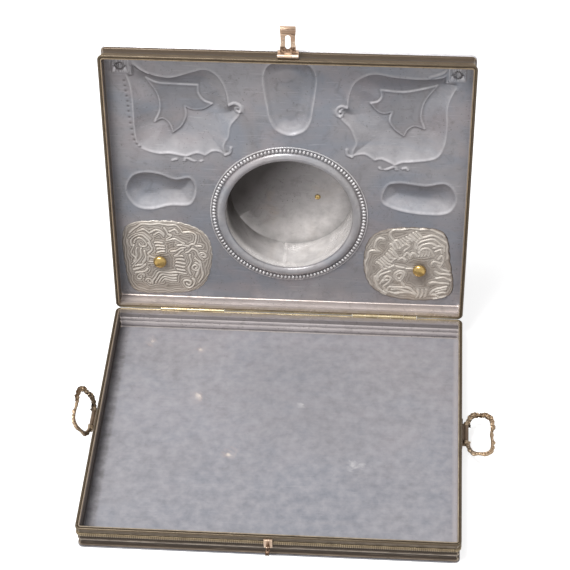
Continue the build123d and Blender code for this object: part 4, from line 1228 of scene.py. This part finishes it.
def floor_marks(tree, where, colour):
    """The tray floor's tarnish and streaks, a painted shadow along its left side and painted light along its
    right, copper spots with painted glints at their cores, and pale patches.
    """
    colour = two_tone(tree, where, colour)
    plan = put(tree, "ShaderNodeSeparateXYZ", {0: where}).outputs
    wavy = mottle(tree, where, 60.0, 5.0, 0.65, 1.0)
    cloudy = ranged(tree, mottle(tree, where, 7.0, 4.0, 0.6, 0.6), 0.38, 0.58, 0.4, 1.0)
    fore = times(tree,ranged(tree, plan[1], 0.04, -0.12, 0.1, 0.95), cloudy)
    colour = mixed(tree, fore, colour, (0.098, 0.122, 0.16, 1))
    streaks = put(tree, "ShaderNodeMapping", {"Vector": where, "Scale": (8.0, 120.0, 1.0)}).outputs[0]
    for size, low, high, share, tint in ((1.0, 0.52, 0.7, 0.45, (0.145, 0.137, 0.145, 1)),
                                         (1.7, 0.55, 0.72, 0.4, (0.31, 0.3, 0.31, 1))):
        streak = ranged(tree, mottle(tree, streaks, size, 5.0, 0.7, 0.4), low, high, 0.0, share)
        colour = mixed(tree, streak, colour, tint)
    # Painted shadow of the left wall along the floor's left side, and painted light along its right side.
    for start, end, share, tint in ((-0.1745, -0.1775, 0.95, (0.04, 0.032, 0.028, 1)),
                                    (0.1805, 0.1835, 0.6, (0.62, 0.55, 0.53, 1))):
        colour = mixed(tree, ranged(tree, plan[0], start, end, 0.0, share), colour, tint)
    # Copper spots, their near-white cores painted glints, then pale patches.
    for spots, grown, tint, share in ((COPPER_SPOTS, 1.7, (0.52, 0.38, 0.32, 1), 0.6),
                                      (COPPER_SPOTS, 0.8, (0.98, 0.85, 0.7, 1), 1.0),
                                      (PALE_SPOTS, 1.0, (0.75, 0.73, 0.72, 1), 0.75)):
        for x, y, spot in spots:
            radius, middle = grown * spot, (x, y, FLOOR_TOP)
            away = put(tree, "ShaderNodeVectorMath", {0: where, 1: middle}, operation="DISTANCE")
            waves = ranged(tree, wavy, 0.3, 0.7, -0.8 * radius, 0.8 * radius)
            ragged = sums(tree, "ADD", away.outputs["Value"], waves)
            colour = mixed(tree, ranged(tree, ragged, radius, 0.2 * radius, 0.0, share), colour, tint)
    return colour


def two_tone(tree, where, colour):
    """Bluish and pinkish patches of the silvering, drawn out in the sheet's rolling direction."""
    laid = put(tree, "ShaderNodeMapping", {"Vector": where, "Scale": (1.0, 1.6, 1.6)}).outputs[0]
    cool = ranged(tree, mottle(tree, laid, 9.0, 5.0, 0.6, 0.8), 0.44, 0.6, 0.0, 0.55)
    warm = ranged(tree, mottle(tree, laid, 13.0, 4.0, 0.6, 0.5), 0.5, 0.66, 0.0, 0.5)
    colour = mixed(tree, cool, colour, (0.2, 0.225, 0.27, 1))
    return mixed(tree, warm, colour, (0.31, 0.272, 0.278, 1))


def copper_bloom(tree, where, colour):
    """The base metal's warm tone coming through in clouds."""
    bloom = ranged(tree, mottle(tree, where, 22.0, 6.0, 0.65, 0.8), 0.53, 0.72, 0.0, 0.5)
    return mixed(tree, bloom, colour, (0.42, 0.33, 0.25, 1))


def shade_by_wall(tree, where, colour):
    """The bail's ends near the wall, painted near black as the shadow they hang in."""
    along = put(tree, "ShaderNodeSeparateXYZ", {0: where}).outputs
    out = put(tree, "ShaderNodeMath", {0: along[0]}, operation="ABSOLUTE").outputs[0]
    return mixed(tree, ranged(tree, out, 0.2085, 0.2, 0.0, 0.92), colour, (0.022, 0.017, 0.014, 1))


# Camera, light and floor

def camera():
    """The photograph's view: a long lens from high in front and a little to the right."""
    data =bpy.data.cameras.new("camera")
    data.lens = 117.1
    data.sensor_width = 36
    data.shift_y = 0.1
    data.clip_end = 20
    piece = bpy.data.objects.new("camera", data)
    bpy.context.scene.collection.objects.link(piece)
    turn = Matrix.Rotation(math.radians(5.0), 4, "Z")
    tilt = Matrix.Rotation(math.radians(90 - 45.57), 4, "X")
    roll = Matrix.Rotation(math.radians(-1.45), 4, "Z")
    piece.matrix_world = Matrix.Translation((0.12132, -1.28149, 1.45518)) @ turn @ tilt @ roll
    bpy.context.scene.camera = piece


def softbox(name, place, aim, width, depth, power):
    """A rectangular light aimed at a point."""
    data = bpy.data.lights.new(name, "AREA")
    data.shape = "RECTANGLE"
    data.size, data.size_y = width, depth
    data.energy = power
    piece = bpy.data.objects.new(name, data)
    bpy.context.scene.collection.objects.link(piece)
    piece.location = place
    piece.rotation_euler = (Vector(aim) - Vector(place)).to_track_quat("-Z", "Y").to_euler()


def seen_or_mirrored(tree):
    """1 for the camera's own rays and for what metal or glass shows of the background."""
    path = put(tree, "ShaderNodeLightPath").outputs
    shown = sums(tree, "MAXIMUM", path["Is Camera Ray"], path["Is Glossy Ray"])
    return sums(tree, "MAXIMUM", shown, path["Is Transmission Ray"])


def floor():
    """The white floor, which takes the box's shadow."""
    bm = bmesh.new()
    bmesh.ops.create_grid(bm, x_segments=1, y_segments=1, size=6)
    mesh = bpy.data.meshes.new("floor")
    bm.to_mesh(mesh)
    bm.free()
    piece = bpy.data.objects.new("floor", mesh)
    bpy.context.scene.collection.objects.link(piece)
    material = bpy.data.materials.new("floor_white")
    material.use_nodes = True
    tree = material.node_tree
    shader = tree.nodes["Principled BSDF"]
    shader.inputs["Base Color"].default_value = (0.55, 0.55, 0.55, 1)
    shader.inputs["Roughness"].default_value = 1
    shader.inputs["Specular IOR Level"].default_value = 0
    shader.inputs["Emission Color"].default_value = (1, 1, 1, 1)
    tree.links.new(times(tree,seen_or_mirrored(tree), 0.75), shader.inputs["Emission Strength"])
    mesh.materials.append(material)


def world():
    """White behind the box and in its metal; its light is a room bright in front and above and dim behind."""
    scene = bpy.context.scene
    scene.world = bpy.data.worlds.new("world")
    scene.world.use_nodes = True
    tree = scene.world.node_tree
    room = tree.nodes["Background"]
    sky = put(tree, "ShaderNodeTexCoord").outputs["Generated"]
    way = put(tree, "ShaderNodeSeparateXYZ", {0: sky}).outputs
    front = times(tree,way[1], -0.75)
    above = times(tree,way[2], 0.55)
    light = ranged(tree, sums(tree, "ADD", front, above), 0.3, 0.85, 0.2, 0.8)
    tree.links.new(light, room.inputs["Strength"])
    room.inputs["Color"].default_value = (1.0, 0.99, 1.0, 1)
    white = put(tree, "ShaderNodeBackground", {"Color": (1, 1, 1, 1)})
    shown = seen_or_mirrored(tree)
    mix = put(tree, "ShaderNodeMixShader", {0: shown, 1: room.outputs[0], 2: white.outputs[0]})
    tree.links.new(mix.outputs[0], tree.nodes["World Output"].inputs["Surface"])


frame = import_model()
for unused in [o for o in bpy.data.objects if o.name in ("Cube", "Light", "Camera")]:
    bpy.data.objects.remove(unused)

groups = {"tarnish": tarnish_group(), "scratches": scratch_group(), "wear": wear_and_light_group()}
silver = metal("silvered_sheet_worn", groups, (0.285, 0.278, 0.293), (0.74, 0.72, 0.74), (0.075, 0.066, 0.064),
               0.34, 0.28, clouded=0.8, scratches=0.4, extra=two_tone)
floor_silver = metal("tray_floor_silvering", groups, (0.208, 0.2, 0.211), (0.38, 0.37, 0.395),
                     (0.08, 0.076, 0.076), 0.42, 0.22, size=11.0, clouded=0.7, scratches=0.8, bump=0.2,
                     extra=floor_marks)
plate_silver = metal("relief_plate_silvering", groups, (0.47, 0.425, 0.38), (0.8, 0.75, 0.68),
                     (0.12, 0.095, 0.075), 0.36, 0.32, extra=copper_bloom)
# The drum's marked painted shade is taken at full strength here.
drum_silver = metal("drum_silvering", groups, (0.43, 0.41, 0.405), (0.85, 0.82, 0.8), (0.05, 0.042, 0.038),
                    0.32, 0.25, clouded=0.8, grime_and_shade=1.0, scratches=0.3, extra=copper_bloom)
tray_middle, lid_middle = (0.0, 0.0, 0.015), (0.0, 0.209, 0.185)
# Pale lining on the tray walls' inner faces: silvered, and painted paler as if lit.
tray_wall = metal("tray_moulding_painted_light", groups, (0.062, 0.043, 0.028), (0.52, 0.43, 0.32), (0.035, 0.025, 0.018),
                  0.34, 0.5, extra=moulding_lines, inner=(tray_middle, (0.58, 0.535, 0.53), (0.4, 0.36, 0.35)))
# Left wall: its inner face's lining is painted shade, darker still below 15.5 mm where the wall's own shadow
# falls.
left_wall = metal("tray_left_moulding_painted_shade", groups, (0.14, 0.1, 0.068), (0.3, 0.24, 0.18), (0.035, 0.025, 0.018),
                  0.5, 0.35, extra=moulding_lines, inner=(tray_middle, (0.17, 0.135, 0.11), (0.09, 0.07, 0.055)),
                  foot=(0.0155, (0.035, 0.028, 0.024)))
# Left wall of the lid: its inner face's lining is painted shade.
lid_left = metal("lid_left_moulding_painted_shade", groups, (0.14, 0.1, 0.07), (0.34, 0.26, 0.17), (0.035, 0.025, 0.018),
                 0.42, 0.5, inner=(lid_middle, (0.15, 0.12, 0.1), (0.08, 0.062, 0.05)))
# Pale lining on the lid walls' inner faces: silvered, and painted paler as if lit.
lid_wall = metal("lid_moulding_painted_light", groups, (0.08, 0.055, 0.034), (0.34, 0.26, 0.17), (0.035, 0.025, 0.018),
                 0.34, 0.5, inner=(lid_middle, (0.6, 0.53, 0.5), (0.4, 0.34, 0.31)))
ring_silver = metal("ring_silvering", groups, (0.29, 0.281, 0.288), (0.7, 0.68, 0.68), (0.09, 0.075, 0.07),
                    0.32, 0.3, clouded=0.9, stained=0.45, scratches=0.3, extra=two_tone)
rim_brass = metal("rim_brass", groups, (0.09, 0.064, 0.037), (0.42, 0.34, 0.21), (0.04, 0.028, 0.018),
                  0.34, 0.5, clouded=0.9, stained=0.5)
hinge_brass = metal("hinge_brass", groups, (0.3, 0.23, 0.12), (0.6, 0.5, 0.32), (0.05, 0.035, 0.022),
                    0.32, 0.55, clouded=0.9, stained=0.6)
bead_brass = metal("milled_brass", groups, (0.085, 0.058, 0.033), (0.36, 0.28, 0.17), (0.03, 0.02, 0.013),
                   0.38, 0.5, edge=0.54)
gilt = metal("knob_gilt", groups, (0.5, 0.34, 0.12), (0.82, 0.64, 0.32), (0.12, 0.065, 0.02), 0.24, 0.85,
             clouded=0.3)
bronze = metal("bail_bronze", groups, (0.26, 0.165, 0.095), (0.5, 0.37, 0.24), (0.03, 0.02, 0.014), 0.34, 0.55,
               edge=0.54, extra=shade_by_wall)
dark_bronze = metal("bracket_bronze", groups, (0.05, 0.035, 0.025), (0.22, 0.15, 0.1), (0.012, 0.009, 0.007),
                    0.42, 0.7)
copper = metal("hasp_copper", groups, (0.34, 0.2, 0.12), (0.75, 0.58, 0.44), (0.07, 0.04, 0.025), 0.34, 0.5,
               edge=0.53)
# Near black, so that the rivet ends fill the corner plates' holes as painted shade.
iron = metal("rivet_iron_dark_as_shade", groups, (0.03, 0.027, 0.025), (0.12, 0.1, 0.08), (0.01, 0.009, 0.008), 0.5, 0.6)
catch = metal("catch_copper", groups, (0.4, 0.29, 0.21), (0.75, 0.6, 0.48), (0.09, 0.055, 0.035), 0.36, 0.7)
finishes = {
    "tray_floor": floor_silver, "drum_rivet": gilt, "hasp_bracket": catch, "hasp_pin": copper,
    "hinge_pins": hinge_brass, "tray_hinge_leaves": hinge_brass, "lid_hinge_leaves": hinge_brass,
    "tray_rim_wire": rim_brass, "lid_rim_wire": rim_brass, "tray_left_wall": left_wall,
    "lid_left_wall": lid_left, "right_handle_bracket": dark_bronze, "left_handle_bracket": dark_bronze,
    "right_handle_pin": dark_bronze, "left_handle_pin": dark_bronze,
}
for name, node in frame["nodes"].items():
    finish = finishes.get(name, silver)
    if name.endswith("_wall") and name != "drum_wall" and name not in finishes:
        finish = tray_wall if name.startswith("tray") else lid_wall
    for index in range(len(node.data.materials)):
        node.data.materials[index] = finish

pressed_panel(silver)
relief_plate("left", LEFT_PLATE, left_ornament, plate_silver)
relief_plate("right", RIGHT_PLATE, right_ornament, plate_silver)
for side in ("left", "right"):
    domed_knob(side, gilt)
    leafy_bail(side, bronze)
    corner_plate(side, silver)
    sunk_rivet(side, iron)
seal_drum(drum_silver)
drum_rivet_head(gilt)
pierced_staple(copper)
pearled_ring(ring_silver)
milled_bead(bead_brass)
slotted_hasp(copper)

camera()
softbox("key", (-0.6, -0.35, 2.1), (0, 0.08, 0.1), 0.9, 0.7, 50)
floor()
world()
bpy.context.scene.view_settings.view_transform = "Standard"
